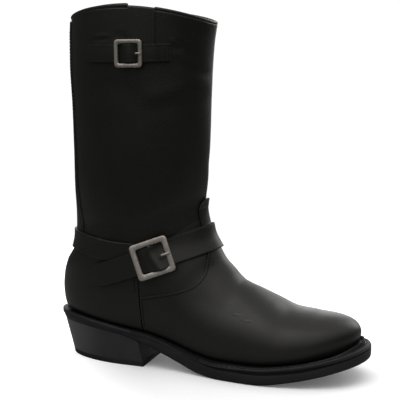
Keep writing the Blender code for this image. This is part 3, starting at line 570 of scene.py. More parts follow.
def smooth(xs, ys, x):
    """Curve through the rows that never overshoots them."""
    pairs = sorted(zip(xs, ys))
    xs = [pair[0] for pair in pairs]
    ys = [pair[1] for pair in pairs]
    steps = [b - a for a, b in zip(xs, xs[1:])]
    slopes = [(b - a) / step for a, b, step in zip(ys, ys[1:], steps)]
    x = min(max(x, xs[0]), xs[-1])
    i = max(k for k in range(len(steps)) if xs[k] <= x)

    def bend(k):
        if k == 0:
            return slopes[0]
        if k == len(steps):
            return slopes[-1]
        if slopes[k - 1] * slopes[k] <= 0:
            return 0.0
        near = 2 * steps[k] + steps[k - 1]
        far = steps[k] + 2 * steps[k - 1]
        return (near + far) / (near / slopes[k - 1] + far / slopes[k])

    t = (x - xs[i]) / steps[i]
    return (
        ys[i] * (1 + 2 * t) * (1 - t) ** 2
        + bend(i) * steps[i] * t * (1 - t) ** 2
        + ys[i + 1] * t * t * (3 - 2 * t)
        + bend(i + 1) * steps[i] * t * t * (t - 1)
    )


def look_up(rows, columns, name, place):
    """Value of a column at a place, which the first column gives for each row."""
    return smooth(column(rows, columns, columns[0]), column(rows, columns, name), place)


def curve(rows, steps):
    """Smooth line through rows, with a number of steps from row to row."""
    places = [i / steps for i in range((len(rows) - 1) * steps + 1)]
    return [[smooth(range(len(rows)), values, t) for values in zip(*rows)] for t in places]


def shifted(line, shift):
    return [(along + shift, up) for along, up in line]


def sole(name, along):
    return look_up(SOLE, SOLE_COLUMNS, name, along)


def foot(name, along):
    return look_up(FOOT, FOOT_COLUMNS, name, along)


def shaft(name, row):
    return smooth(range(len(SHAFT)), column(SHAFT, SHAFT_COLUMNS, name), row)


def welt_line(along, side):
    """y of the line where the upper meets the welt."""
    if along <= HEEL_ROUND:
        part = (HEEL_ROUND - along) / (HEEL_ROUND - HEEL_BACK)
        return side * HEEL_HALF_WIDTH * math.sqrt(max(0.0, 1 - part * part))
    if along >= BALL[side]:
        part = (along - BALL[side]) / (TOE_TIP - BALL[side])
        half = BALL_HALF_WIDTH[side] - side * TOE_SIDE
        return TOE_SIDE + side * half * math.sqrt(max(0.0, 1 - part * part))
    name = "outer" if side == OUTER else "inner"
    return side * look_up(WAIST, WAIST_COLUMNS, name, along)


# Forms.


def sheet_of(rows, dark=()):
    """Surface through rows of points: a grid bent to them, its meeting edges joined. Dark strips, named by
    the rows that they start from, take the second finish."""
    shape = bmesh.new()
    last_row = len(rows) - 1
    last_place = len(rows[0]) - 1
    bmesh.ops.create_grid(shape, x_segments=last_place, y_segments=last_row, size=0.5)
    for face in shape.faces:
        face.material_index = int(int((face.calc_center_median().y + 0.5) * last_row) in dark)
    for vert in shape.verts:
        row = round((vert.co.y + 0.5) * last_row)
        place = round((vert.co.x + 0.5) * last_place)
        vert.co = world(rows[row][place])
    bmesh.ops.remove_doubles(shape, verts=shape.verts[:], dist=JOIN_CLOSE * MM)
    bmesh.ops.dissolve_degenerate(shape, edges=shape.edges[:], dist=FLAT_CLOSE * MM)
    return shape


def rings_form(rings, dark=()):
    """Closed form through rings, the first and the last of which meet or shrink to a line."""
    shape = sheet_of([list(ring) + [ring[0]] for ring in rings], dark)
    bmesh.ops.recalc_face_normals(shape, faces=shape.faces[:])
    return shape


def solid_of(rings, dark=()):
    """Closed form through rings, with flat ends. Dark strips along it are named by their points in a ring."""
    lines = list(zip(*rings))
    shape = sheet_of(lines + lines[:1], dark)
    bmesh.ops.holes_fill(shape, edges=[edge for edge in shape.edges if edge.is_boundary], sides=0)
    bmesh.ops.recalc_face_normals(shape, faces=shape.faces[:])
    return shape


def add_piece(name, shape, finishes, node, sharp=35.0):
    """The finished piece: it rides on the boot and stands for its solid."""
    mesh = bpy.data.meshes.new(name)
    shape.to_mesh(mesh)
    shape.free()
    mesh.shade_smooth()
    mesh.set_sharp_from_angle(angle=math.radians(sharp))
    for finish in finishes:
        mesh.materials.append(finish.material)
    piece = bpy.data.objects.new(name, mesh)
    bpy.context.scene.collection.objects.link(piece)
    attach(piece, "root")
    if node:
        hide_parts(node)
    return piece


# Upper.


def half_section(station, side, start, end, steps, above):
    """Points of one side of a section from one angle to another, above or below its widest place."""
    low = Vector(station["low"])
    high = Vector(station["high"])
    widest = station["equator"]
    half = station["half"][side]
    power = 2 / (station["crown"] if above else station["base"])
    points = []
    for angle in even_steps(start, end, steps):
        wide = max(0.0, math.cos(angle)) ** power
        rise = abs(math.sin(angle)) ** power
        if above:
            part = widest + (1 - widest) * rise
        else:
            part = widest * (1 - rise / station["depth"][side])
        spot = low.lerp(high, part)
        lift = station["rise"] * wide * wide
        points.append((spot.x, station["middle"] + side * half * wide, spot.z + lift))
    return points


def section(station):
    """Points of one section, from the outer foot over the top to the inner foot."""
    station["depth"] = {}
    halves = {}
    for side in (OUTER, INNER):
        share = min(1.0, station["foot_half"][side] / max(station["half"][side], TINY))
        turn = math.acos(share ** (station["base"] / 2))
        station["depth"][side] = max(math.sin(turn), TINY) ** (2 / station["base"])
        below = half_section(station, side, turn, 0.0, LOW_STEPS, False)
        over = half_section(station, side, 0.0, math.pi / 2, HIGH_STEPS, True)
        halves[side] = below + over[1:]
    return halves[OUTER] + halves[INNER][-2::-1]


def foot_station(along):
    """Section of the upper that stands on the welt line."""
    top_up = foot("top_up", along)
    if along > TOE_CAP:
        tip_up = foot("top_up", TOE_TIP)
        part = (along - TOE_CAP) / (TOE_TIP - TOE_CAP)
        line = foot("top_up", TOE_CAP) + TOE_TOP_SLOPE * (along - TOE_CAP)
        top_up = tip_up + (line - tip_up) * (1 - part**TOE_ROUND) ** (1 / TOE_ROUND)
    middle = foot("middle", along)
    foot_half = {}
    half = {}
    for side, name in ((OUTER, "bulge_outer"), (INNER, "bulge_inner")):
        foot_half[side] = abs(welt_line(along, side) - middle)
        widest = abs(welt_line(max(along, HEEL_ROUND), side) - middle)
        half[side] = widest + foot(name, along) * min(1.0, widest / BULGE_FADE)
    return {
        "low": (along, 0, sole("seat", along) + UPPER_CLEAR),
        "high": (foot("top_along", along), 0, top_up),
        "middle": middle,
        "foot_half": foot_half,
        "half": half,
        "equator": foot("equator", along),
        "crown": foot("crown", along),
        "base": foot("base", along),
        "rise": 0.0,
    }


def shaft_station(row):
    """Closed section round the heel or the shaft."""
    half = shaft("half_width", row)
    return {
        "low": (shaft("back", row), 0, shaft("back_up", row)),
        "high": (shaft("front", row), 0, shaft("front_up", row)),
        "middle": 0.0,
        "foot_half": {OUTER: 0.0, INNER: 0.0},
        "half": {OUTER: half, INNER: half},
        "equator": shaft("equator", row),
        "crown": shaft("crown", row),
        "base": shaft("base", row),
        "rise": shaft("rise", row),
    }


def upper_sections():
    """Sections of the upper from the toe tip back to the heel, then up the shaft to the collar."""
    toe_turns = even_steps(math.pi / 2, 0.0, TOE_ROWS)[:-1]
    heel_turns = even_steps(0.0, math.pi / 2, HEEL_ROWS)
    places = [BALL[OUTER] + (TOE_TIP - BALL[OUTER]) * math.sin(turn) for turn in toe_turns]
    places += even_steps(BALL[OUTER], HEEL_ROUND, FOOT_ROWS)[:-1]
    places += [HEEL_ROUND + (HEEL_BACK - HEEL_ROUND) * math.sin(turn) for turn in heel_turns]
    stations = [foot_station(along) for along in places]
    stations += [shaft_station(row) for row in even_steps(0, len(SHAFT) - 1, SHAFT_ROWS)[1:]]
    return [section(station) for station in stations]


def relief(spot, out):
    """How far the folds lift the leather at a place."""
    total = 0.0
    for along, up, to_along, to_up, side, width, depth in FOLDS:
        run = Vector((to_along - along, to_up - up))
        from_start = Vector((spot.x - along, spot.z - up))
        share = min(1.0, max(0.0, from_start.dot(run) / run.length_squared))
        away = (from_start - share * run).length / width
        if away > FOLD_REACH:
            continue
        facing = 1.0
        if side:
            facing = min(1.0, max(0.0, (side * out.y + SIDE_FADE) / (2 * SIDE_FADE)))
        total -= depth * facing * math.exp(-away * away)
    return total


def above_seat(spot):
    """Height over the top of the welt."""
    return spot.z - sole("seat", min(max(spot.x, HEEL_BACK), TOE_TIP))


def tuck(spot):
    """How the leather turns in above the welt, towards the middle line of the foot."""
    under = max(0.0, 1 - above_seat(spot) / TUCK_HEIGHT)
    middle = min(max(spot.x, TUCK_LINE[0]), TUCK_LINE[1])
    return Vector((middle - spot.x, -spot.y, 0)).normalized() * TUCK * under**2


def in_instep(spot):
    """Whether a place lies on the bend between foot and shaft, on the side view."""
    start, end = (Vector(point) for point in INSTEP)
    way = (end - start).normalized()
    away = abs(way.cross(Vector((spot.x, spot.z)) - start))
    return spot.x > INSTEP_START and away < INSTEP_REACH


def make_skin():
    """Outside of the upper with its folds; "out" keeps the way out at each place."""
    shape = sheet_of(upper_sections())
    shape.normal_update()
    sample = max(shape.verts, key=lambda vert: vert.co.z)
    if sample.normal.dot(sample.co - world((COLLAR_AXIS, 0, drawn(sample.co).z))) < 0:
        bmesh.ops.reverse_faces(shape, faces=shape.faces[:])
        shape.normal_update()
    bend = [vert for vert in shape.verts if in_instep(drawn(vert.co))]
    axes = {"use_axis_x": True, "use_axis_y": True, "use_axis_z": True}
    for i in range(INSTEP_PASSES):
        bmesh.ops.smooth_vert(shape, verts=bend, factor=0.5, **axes)
    shape.normal_update()
    moves = {}
    for vert in shape.verts:
        spot = drawn(vert.co)
        moves[vert] = vert.normal * relief(spot, vert.normal) + tuck(spot)
    for vert, move in moves.items():
        vert.co = vert.co + move * MM
    shape.normal_update()
    out = shape.verts.layers.float_vector.new("out")
    for vert in shape.verts:
        vert[out] = vert.normal
    return shape


def flat_view(points, view):
    """Points as the side view shows them, or the back view."""
    points = np.array([drawn(point) for point in points]).reshape(-1, 3)
    return points[:, [0, 2]] if view == "side" else points[:, [1, 2]]


def inside(outline, spots):
    """Which spots lie inside a closed outline."""
    found = np.zeros(len(spots), bool)
    for (x0, y0), (x1, y1) in zip(outline, outline[1:] + outline[:1]):
        crosses = (y0 > spots[:, 1]) != (y1 > spots[:, 1])
        with np.errstate(divide="ignore", invalid="ignore"):
            at = x0 + (spots[:, 1] - y0) * (x1 - x0) / (y1 - y0)
        found ^= crosses & (spots[:, 0] < at)
    return found


def score(shape, outline, view):
    """Cuts new edges into a shape along an outline drawn on a view."""
    for start, end in zip(outline, outline[1:] + outline[:1]):
        start = np.array(start)
        end = np.array(end)
        low = np.minimum(start, end) - CUT_ROOM
        high = np.maximum(start, end) + CUT_ROOM
        faces = shape.faces[:]
        spots = flat_view([face.calc_center_median() for face in faces], view)
        near = ((spots > low) & (spots < high)).all(axis=1)
        chosen = [face for face, take in zip(faces, near) if take]
        if not chosen:
            continue
        way = end - start
        if view == "side":
            place = world((start[0], 0, start[1]))
            across = (way[1], 0, -way[0])
        else:
            place = world((0, start[0], start[1]))
            across = (0, way[1], -way[0])
        edges = {edge for face in chosen for edge in face.edges}
        verts = {vert for face in chosen for vert in face.verts}
        geom = chosen + list(edges) + list(verts)
        bmesh.ops.bisect_plane(shape, geom=geom, dist=CUT_CLOSE * MM, plane_co=place, plane_no=across)


def panel_shape(skin, drawings):
    """Part of the skin inside any of the drawings: each an outline, its view, and the length it holds for."""
    shape = skin.copy()
    low = np.min([np.min(outline, axis=0)[1] for outline, view, reach in drawings]) - PANEL_ROOM
    high = np.max([np.max(outline, axis=0)[1] for outline, view, reach in drawings]) + PANEL_ROOM
    far = [face for face in shape.faces if not low < drawn(face.calc_center_median()).z < high]
    bmesh.ops.delete(shape, geom=far, context="FACES")
    for outline, view, reach in drawings:
        score(shape, outline, view)
    centres = [face.calc_center_median() for face in shape.faces]
    alongs = np.array([drawn(centre).x for centre in centres])
    kept = np.zeros(len(centres), bool)
    for outline, view, reach in drawings:
        kept |= inside(outline, flat_view(centres, view)) & (alongs > reach[0]) & (alongs < reach[1])
    outside = [face for face, keep in zip(shape.faces[:], kept) if not keep]
    bmesh.ops.delete(shape, geom=outside, context="FACES")
    return shape


def raise_panel(shape, height, base=0.0):
    """Lifts a panel off the skin, with rounded edges that drop to the base, and returns its border lines."""
    out = shape.verts.layers.float_vector["out"]
    sideways = shape.verts.layers.float_vector.new("sideways")
    rim = [edge for edge in shape.edges if edge.is_boundary]
    for edge in rim:
        face = edge.link_faces[0]
        first, second = edge.verts
        middle = (first.co + second.co) / 2
        way = (second.co - first.co).normalized().cross(face.normal)
        if way.dot(middle - face.calc_center_median()) < 0:
            way = -way
        for vert in edge.verts:
            vert[sideways] = vert[sideways] + way * edge.calc_length()
    for vert in shape.verts:
        vert[out] = vert[out].normalized()
        vert.co = vert.co + vert[out] * height * MM
        if vert[sideways].length:
            vert[sideways] = vert[sideways].normalized()
    lines = border_lines(rim, out, sideways)
    gone = 0.0
    for aside, down in EDGE_ROUND + ((0.0, None),):
        drop = height - base - gone if down is None else down
        gone += drop
        made = bmesh.ops.extrude_edge_only(shape, edges=rim)["geom"]
        for vert in made:
            if isinstance(vert, bmesh.types.BMVert):
                vert.co = vert.co + (vert[sideways] * aside - vert[out] * drop) * MM
        rim = [edge for edge in made if isinstance(edge, bmesh.types.BMEdge) and edge.is_boundary]
    bmesh.ops.recalc_face_normals(shape, faces=shape.faces[:])
    return lines


def border_lines(rim, out, sideways):
    """Closed lines round a panel, as (place, way out, way inwards) at each point."""
    ends = {}
    for edge in rim:
        for vert in edge.verts:
            ends.setdefault(vert, []).append(edge)
    lines = []
    waiting = set(rim)
    while waiting:
        edge = min(waiting, key=lambda item: item.index)
        waiting.remove(edge)
        start, here = edge.verts
        line = [start]
        while here is not start:
            line.append(here)
            onward = [item for item in ends[here] if item in waiting]
            if not onward:
                break
            waiting.remove(onward[0])
            here = onward[0].other_vert(here)
        lines.append([(vert.co.copy(), vert[out].copy(), -vert[sideways]) for vert in line])
    return lines


# Thread.


def spaced(points, pitch):
    """Places along a line at an even pitch, as (number of the point before, share to the next)."""
    found = []
    left = pitch / 2
    for i, (here, there) in enumerate(zip(points, points[1:])):
        length = (there - here).length
        while left < length:
            found.append((i, left / length))
            left += pitch
        left -= length
    return found


def add_stitch(shape, middle, way, out, length, radius):
    """One stitch: a bead drawn out along the seam, half sunk in the leather."""
    across = out.cross(way).normalized()
    out = way.cross(across).normalized()
    turn = Matrix((way, across, out)).transposed().to_4x4()
    size = Matrix.Diagonal((length / 2 * MM, radius * MM, radius * MM, 1))
    place = Matrix.Translation(middle + out * STITCH_RISE * radius * MM)
    bmesh.ops.create_uvsphere(shape, u_segments=6, v_segments=5, radius=1.0, matrix=place @ turn @ size)


def sew(shape, points, outs, pitch=STITCH_PITCH, length=STITCH_LENGTH, radius=STITCH_RADIUS):
    """A row of stitches along a line."""
    for i, share in spaced(points, pitch * MM):
        way = points[i + 1] - points[i]
        add_stitch(shape, points[i].lerp(points[i + 1], share), way.normalized(), outs[i], length, radius)


def join(shape, extra):
    """Adds one form to another."""
    mesh = bpy.data.meshes.new("joined")
    extra.to_mesh(mesh)
    extra.free()
    shape.from_mesh(mesh)
    bpy.data.meshes.remove(mesh)


def add_stitch_shade(shape, points, outs):
    """Painted shade: a flat near-black strip laid just over the leather under a row of stitches, standing in
    for its channel's shade.
    """
    rows = []
    for i, (point, out) in enumerate(zip(points, outs)):
        way = points[min(i + 1, len(points) - 1)] - points[max(i - 1, 0)]
        across = out.cross(way).normalized() * STITCH_SHADE_HALF_WIDTH * MM
        rows.append([drawn(point + across * side + out * STITCH_SHADE_LIFT * MM) for side in (-1, 0, 1)])
    strip = sheet_of(rows)
    strip.normal_update()
    if sum(face.normal.dot(outs[0]) for face in list(strip.faces)[:2]) < 0:
        bmesh.ops.reverse_faces(strip, faces=strip.faces[:])
    for face in strip.faces:
        face.material_index = 1
    join(shape, strip)


def even_line(line):
    """A border line in even steps, its directions evened out."""
    places = [item[0] for item in line]
    found = []
    for i, share in spaced(places, SEAM_STEP * MM):
        found.append([line[i][k].lerp(line[i + 1][k], share) for k in range(3)])
    evened = []
    for i in range(len(found)):
        near = found[max(0, i - EVEN_STEPS) : i + EVEN_STEPS + 1]
        out = sum((item[1] for item in near), Vector()).normalized()
        inward = sum((item[2] for item in near), Vector()).normalized()
        evened.append((found[i][0], out, inward))
    return evened


def add_panel(node, shape, lines, inset, wanted, finish, threads):
    """A panel, and a row of stitches inside its border on the stretches that are wanted."""
    tree = BVHTree.FromBMesh(shape)
    stitches = bmesh.new()
    for line in lines:
        stretch = []
        for item in line + line[:1] + [None]:
            if item is not None and wanted(drawn(item[0])):
                stretch.append(item)
                continue
            if len(stretch) >= SHORTEST_SEAM:
                even = even_line(stretch)
                spots = [tree.find_nearest(place + inward * inset * MM) for place, out, inward in even]
                places = [spot[0] for spot in spots]
                outs = [spot[1] for spot in spots]
                sew(stitches, places, outs)
                add_stitch_shade(stitches, places, outs)
            stretch = []
    add_piece(node + "_leather", shape, [finish], node)
    add_piece(node + "_stitches", stitches, threads, None)


# Finishes.


class Value:
    """A socket's value; sums with it add Math nodes."""

    def __init__(self, nodes, socket):
        self.nodes = nodes
        self.socket = socket

    def maths(self, operation, first, second):
        return self.nodes.node("ShaderNodeMath", {"operation": operation}, {0: first, 1: second})

    def __add__(self, other):
        return self.maths("ADD", self, other)

    def __sub__(self, other):
        return self.maths("SUBTRACT", self, other)

    def __rsub__(self, other):
        return self.maths("SUBTRACT", other, self)

    def __mul__(self, other):
        return self.maths("MULTIPLY", self, other)

    __radd__ = __add__
    __rmul__ = __mul__


class Nodes:
    """A tree of shader nodes."""

    def __init__(self, tree):
        self.tree = tree

    def feed(self, socket, value):
        if isinstance(value, Value):
            self.tree.links.new(value.socket, socket)
        else:
            socket.default_value = value

    def node(self, kind, settings=None, values=None, output=0):
        made = self.tree.nodes.new(kind)
        for name, value in (settings or {}).items():
            setattr(made, name, value)
        for name, value in (values or {}).items():
            self.feed(made.inputs[name], value)
        return Value(self, made.outputs[output])

    def between(self, value, low, high, to_low=0.0, to_high=1.0):
        values = {"Value": value, "From Min": low, "From Max": high, "To Min": to_low, "To Max": to_high}
        return self.node("ShaderNodeMapRange", {"interpolation_type": "SMOOTHSTEP"}, values)


class Finish(Nodes):
    """A material built from nodes round one Principled shader."""

    def __init__(self, name, **sockets):
        self.material = bpy.data.materials.new(name)
        self.material.use_nodes = True
        super().__init__(self.material.node_tree)
        self.shader = self.tree.nodes["Principled BSDF"]
        self.use(**sockets)
        self.place = self.node("ShaderNodeTexCoord", output="Object")

    def use(self, **values):
        for socket, value in values.items():
            self.feed(self.shader.inputs[socket.replace("_", " ")], value)

    def noise(self, scale, detail=2.0, stretch=(1, 1, 1)):
        place = self.node("ShaderNodeMapping", values={"Vector": self.place, "Scale": stretch})
        return self.node("ShaderNodeTexNoise", values={"Vector": place, "Scale": scale, "Detail": detail})

    def cells(self, scale):
        values = {"Vector": self.place, "Scale": scale}
        return self.node("ShaderNodeTexVoronoi", {"feature": "SMOOTH_F1"}, values)

    def mix(self, share, first, second):
        return self.node("ShaderNodeMix", {"data_type": "RGBA"}, {0: share, 6: first, 7: second}, output=2)

    def bump(self, height, depth):
        values = {"Height": height, "Distance": depth * MM, "Strength": 1.0}
        return self.node("ShaderNodeBump", values=values)


def make_leather(name, roughness, grain_depth):
    """Smooth oiled black leather with fine pores and a slightly uneven gloss."""
    finish = Finish(name, Specular_IOR_Level=0.5, Specular_Tint=(1.0, 0.985, 0.91, 1), Coat_Roughness=0.3)
    cloud = finish.noise(16.0, 3.0)
    patch = finish.noise(60.0, 4.0)
    grain = finish.cells(1150.0)
    pores = finish.noise(2600.0, 2.0)
    scuff = finish.between(finish.noise(90.0, 6.0, (1.0, 1.0, 2.5)), 0.66, 0.78)
    wear_and_sheen = 0.0
    for middle, half in SCUFFS:
        values = {"Vector": finish.place, "Location": world(middle), "Scale": Vector(half) * MM}
        offset = finish.node("ShaderNodeMapping", {"vector_type": "TEXTURE"}, values)
        away = finish.node("ShaderNodeVectorMath", {"operation": "LENGTH"}, {0: offset}, "Value")
        wear_and_sheen = wear_and_sheen + finish.between(away + 0.8 * patch, 0.7, 1.3, 1.0, 0.0)
    tone = finish.between(cloud, 0.3, 0.7)
    colour = finish.mix(tone, *LEATHER_TONES)
    finish.use(
        Base_Color=finish.mix(scuff * 0.14 + wear_and_sheen * 0.7, colour, SCUFF_TONE),
        Roughness=roughness + 0.1 * patch + 0.06 * grain + 0.1 * scuff + 0.16 * wear_and_sheen,
        Coat_Weight=0.12 - 0.1 * scuff,
        Normal=finish.bump(grain * 0.7 + pores * 0.3 + patch * 1.2 + wear_and_sheen * 2.5, grain_depth),
    )
    return finish


def make_lining():
    """Undyed lining leather, dry and a little soiled."""
    finish = Finish("tan_lining", Specular_IOR_Level=0.3)
    cloud = finish.noise(30.0, 4.0)
    fibre = finish.noise(900.0, 3.0)
    colour = finish.mix(finish.between(cloud, 0.3, 0.75), *LINING_TONES)
    finish.use(Base_Color=colour, Roughness=0.7 + 0.2 * fibre, Normal=finish.bump(fibre, 0.15))
    return finish


def make_edge(name, tones, roughness, line_depth, shine, wear_and_sheen=None):
    """Inked and burnished edge of the sole or the heel, with fine lines and, where asked, a lighter tone at
    the back as painted sheen.
    """
    finish = Finish(name, Specular_IOR_Level=shine)
    cloud = finish.noise(40.0, 3.0)
    lines = finish.noise(420.0, 2.0, (0.05, 0.05, 1.6))
    specks = finish.noise(900.0, 2.0)
    colour = finish.mix(finish.between(cloud, 0.3, 0.7), *tones)
    # Painted sheen: lighter towards the back, for the light that the edge catches there.
    if wear_and_sheen:
        sheen_tone, full, gone = wear_and_sheen
        length = finish.node("ShaderNodeSeparateXYZ", values={0: finish.place}, output="X")
        colour = finish.mix(finish.between(length, full, gone, 1.0, 0.0), colour, sheen_tone)
    finish.use(
        Base_Color=colour,
        Roughness=roughness + min(LINE_DULLS_MOST, LINE_DULLS * line_depth) * lines + 0.1 * specks,
        Normal=finish.bump(lines * 0.8 + specks * 0.3, line_depth),
    )
    return finish


def make_pewter():
    """Old nickel: brushed, with a darker bloom and bright worn patches."""
    finish = Finish("pewter", Specular_IOR_Level=0.5)
    bloom = finish.between(finish.noise(240.0, 5.0), 0.38, 0.62)
    brushed = finish.noise(1500.0, 2.0, (0.1, 1.0, 1.0))
    pits = finish.noise(1300.0, 3.0)
    colour = finish.mix(bloom, *PEWTER_TONES)
    finish.use(
        Base_Color=colour,
        Metallic=0.82 + 0.12 * bloom,
        Roughness=0.48 - 0.08 * bloom + 0.1 * brushed,
        Normal=finish.bump(pits * 0.4 + brushed * 0.5, 0.04),
    )
    return finish


def make_threads():
    """Waxed black thread, and a near-black matte finish that paints the shade in the channel round it."""
    thread = Finish("black_thread", Base_Color=THREAD_TONE)
    twist = thread.noise(2500.0, 1.0)
    thread.use(Roughness=0.5 + 0.2 * twist, Normal=thread.bump(twist, 0.05))
    channel = Finish("stitch_shade", Base_Color=STITCH_SHADE_TONE, Specular_IOR_Level=0.1)
    channel.use(Roughness=0.75 + 0.2 * channel.noise(900.0))
    return [thread, channel]


# Pieces of the upper.


def make_upper(skin, finishes):
    """The wall: its lowest part outside is painted dark as shade, and all of it is lined."""
    shape = skin.copy()
    # Painted shade: the lowest faces take the dark finish.
    for face in shape.faces:
        if above_seat(drawn(face.calc_center_median())) < PAINTED_SHADE_HEIGHT:
            face.material_index = 2
    piece = add_piece("upper_wall", shape, finishes, "upper", sharp=60.0)
    wall = piece.modifiers.new("wall", "SOLIDIFY")
    wall.thickness = WALL * MM
    wall.offset = -1.0
    wall.material_offset = 1


def above_welt(start, end):
    """Line at the foot of the panels, along the boot."""
    count = max(2, int(abs(end - start) / PANEL_FOOT_STEP))
    return [(along, sole("seat", along) + PANEL_FOOT) for along in even_steps(start, end, count)]


def make_vamp(skin, finish, threads):
    """Front overlay with its tongue, which leans off the shaft at the top."""
    side = shifted(curve(SIDE_SEAM[: SIDE_SEAM_CORNER + 1], SIDE_SEAM_STEPS), SEAM_CLEAR)
    seam = shifted(curve(VAMP_SEAM, VAMP_SEAM_STEPS), SEAM_CLEAR)
    front = above_welt(PANEL_FRONT, side[0][0]) + side[1:] + seam[1:] + [(PANEL_FRONT, seam[-1][1])]
    tongue = [(-TONGUE_HALF_WIDTH, TONGUE_FOOT), (TONGUE_HALF_WIDTH, TONGUE_FOOT)]
    for angle in even_steps(0.0, math.pi, TONGUE_STEPS):
        drop = TONGUE_HALF_WIDTH * (1 - math.sin(angle))
        tongue.append((TONGUE_HALF_WIDTH * math.cos(angle), TONGUE_TOP - drop))
    ahead = (ANKLE_AXIS, WHOLE_LENGTH[1])
    shape = panel_shape(skin, [(front, "side", WHOLE_LENGTH), (tongue, "back", ahead)])
    lines = raise_panel(shape, OVERLAY_HEIGHT)
    for vert in shape.verts:
        spot = drawn(vert.co)
        rise = (spot.z - TONGUE_FLARE_FOOT) / (TONGUE_TOP - TONGUE_FLARE_FOOT)
        if rise > 0 and spot.x > ANKLE_AXIS:
            vert.co.x += TONGUE_FLARE * rise * rise * MM

    def wanted(spot):
        return above_seat(spot) > VAMP_STITCH_FOOT and spot.z < VAMP_STITCH_TOP

    add_panel("vamp", shape, lines, VAMP_STITCH_INSET, wanted, finish, threads)


def make_counter(skin, finish, threads):
    """Overlay round the heel."""
    side = shifted(curve(SIDE_SEAM, SIDE_SEAM_STEPS), -SEAM_CLEAR)
    top = shifted(curve(COUNTER_TOP, SIDE_SEAM_STEPS), -SEAM_CLEAR)
    rear = above_welt(PANEL_BACK, side[0][0]) + side[1:] + top[1:]
    shape = panel_shape(skin, [(rear, "side", WHOLE_LENGTH)])
    lines = raise_panel(shape, OVERLAY_HEIGHT)

    def wanted(spot):
        return spot.z > COUNTER_STITCH_FOOT

    add_panel("counter", shape, lines, COUNTER_STITCH_INSET, wanted, finish, threads)


def make_back_strip(skin, finish, threads):
    """Strip up the back of the shaft."""
    edge = curve(STRIP, STRIP_STEPS)
    strip = [(half, up) for up, half in edge] + [(-half, up) for up, half in edge[::-1]]
    shape = panel_shape(skin, [(strip, "back", (WHOLE_LENGTH[0], COLLAR_AXIS))])
    lines = raise_panel(shape, STRIP_HEIGHT)

    def wanted(spot):
        return STRIP_STITCH_FOOT < spot.z < STRIP_STITCH_TOP

    add_panel("back_strip", shape, lines, STRIP_STITCH_INSET, wanted, finish, threads)


def make_rear_strap(skin, finish):
    """Half of the ankle strap that goes round the heel, close to the leather."""
    rows = curve(REAR_STRAP, STRIP_STEPS)
    edge = [(along, top) for along, top, low in rows] + [(along, low) for along, top, low in rows[::-1]]
    shape = panel_shape(skin, [(edge, "side", WHOLE_LENGTH)])
    raise_panel(shape, REAR_STRAP_LIFT + STRAP_THICKNESS, REAR_STRAP_LIFT - REAR_STRAP_SKIRT)
    add_piece("ankle_strap_rear_leather", shape, [finish], "ankle_strap_rear")


# Straps, buckles and collar.


class Wrap:
    """Places on and off the outside of the upper, found from an upright axis inside it."""

    def __init__(self, skin):
        self.trees = []
        for lift in (0.0, FAR_LIFT):
            shape = skin.copy()
            out = shape.verts.layers.float_vector["out"]
            for vert in shape.verts:
                vert.co = vert.co + vert[out] * lift * MM
            self.trees.append(BVHTree.FromBMesh(shape))
            shape.free()
        self.rim = upper_sections()[-1]

    def reach(self, axis, angle, up, lift=0.0):
        """Distance from the axis to the place that stands clear of the upper by lift."""
        start = world((axis, 0, up))
        near, far = (tree.ray_cast(start, heading(angle))[3] / MM for tree in self.trees)
        return near + (far - near) * lift / FAR_LIFT

    def spot(self, axis, angle, up, lift):
        return Vector((axis, 0, up)) + heading(angle) * self.reach(axis, angle, up, lift)

    def rim_up(self, axis, angle):
        turns = [math.degrees(math.atan2(y, x - axis)) for x, y, z in self.rim]
        order = np.argsort(turns)
        ups = [self.rim[i][2] for i in order]
        return float(np.interp(angle, [turns[i] for i in order], ups, period=360))


def route(rows, name, angle):
    return look_up(rows, ROUTE_COLUMNS, name, angle)


def make_strap(name, wrap, axis, rows, width, finishes):
    """Flat strap laid along a route, with a rounded tip at its start."""
    first = rows[0][0]
    last = rows[-1][0]
    count = int(abs(last - first) / STRAP_STEP)
    rings = []
    gone = 0.0
    before = None
    for angle in even_steps(first, last, count):
        up = route(rows, "up", angle)
        lift = route(rows, "lift", angle)
        here = wrap.spot(axis, angle, up, 0.0)
        gone += (here - before).length if before else 0.0
        before = here
        level = wrap.spot(axis, angle + 1, up, 0.0) - wrap.spot(axis, angle - 1, up, 0.0)
        climb = route(rows, "up", angle + 1) - route(rows, "up", angle - 1)
        slope = math.atan2(climb, level.length)
        share = 1.0
        if gone < TIP_LENGTH:
            share = TIP_SHARE + (1 - TIP_SHARE) * math.sqrt(1 - (1 - gone / TIP_LENGTH) ** 2)

        def place(across, depth):
            off = width / 2 * share * across
            turned = angle - 2 * off * math.sin(slope) / level.length
            return wrap.spot(axis, turned, up + off * math.cos(slope), lift + STRAP_THICKNESS * depth)

        rings.append([place(across, depth) for across, depth in STRAP_PROFILE])
    # Its cut edges take the second finish: dark as dyed edges, and as painted shade.
    add_piece(name + "_leather", solid_of(rings, CUT_EDGES), finishes, name)
    return rings


def sew_strap_end(name, rings, threads):
    """Rows of stitches across the end of a strap, and along both edges next to it."""
    tops = [k for k, (across, depth) in enumerate(STRAP_PROFILE) if depth > STRAP_FACE]
    lines = [[rings[i][k] for k in tops] for i in END_ROWS]
    lines += [[ring[k] for ring in rings[EDGE_ROWS:]] for k in (tops[1], tops[-2])]
    out = (rings[-1][tops[0]] - rings[-1][0]).normalized()
    stitches = bmesh.new()
    for line in lines:
        points = [world(spot) for spot in line]
        outs = [out] * len(points)
        sew(stitches, points, outs, END_PITCH, END_LENGTH, END_RADIUS)
        add_stitch_shade(stitches, points, outs)
    add_piece(name + "_stitches", stitches, threads, None)


def rounded_square(long, wide, radius):
    """Outline of a square with rounded corners, from its middle."""
    points = []
    for turn, corner in ((0, (1, 1)), (90, (-1, 1)), (180, (-1, -1)), (270, (1, -1))):
        centre = (corner[0] * (long / 2 - radius), corner[1] * (wide / 2 - radius))
        for angle in even_steps(turn, turn + 90, CORNER_STEPS):
            way = heading(angle)
            points.append((centre[0] + radius * way.x, centre[1] + radius * way.y))
    return points


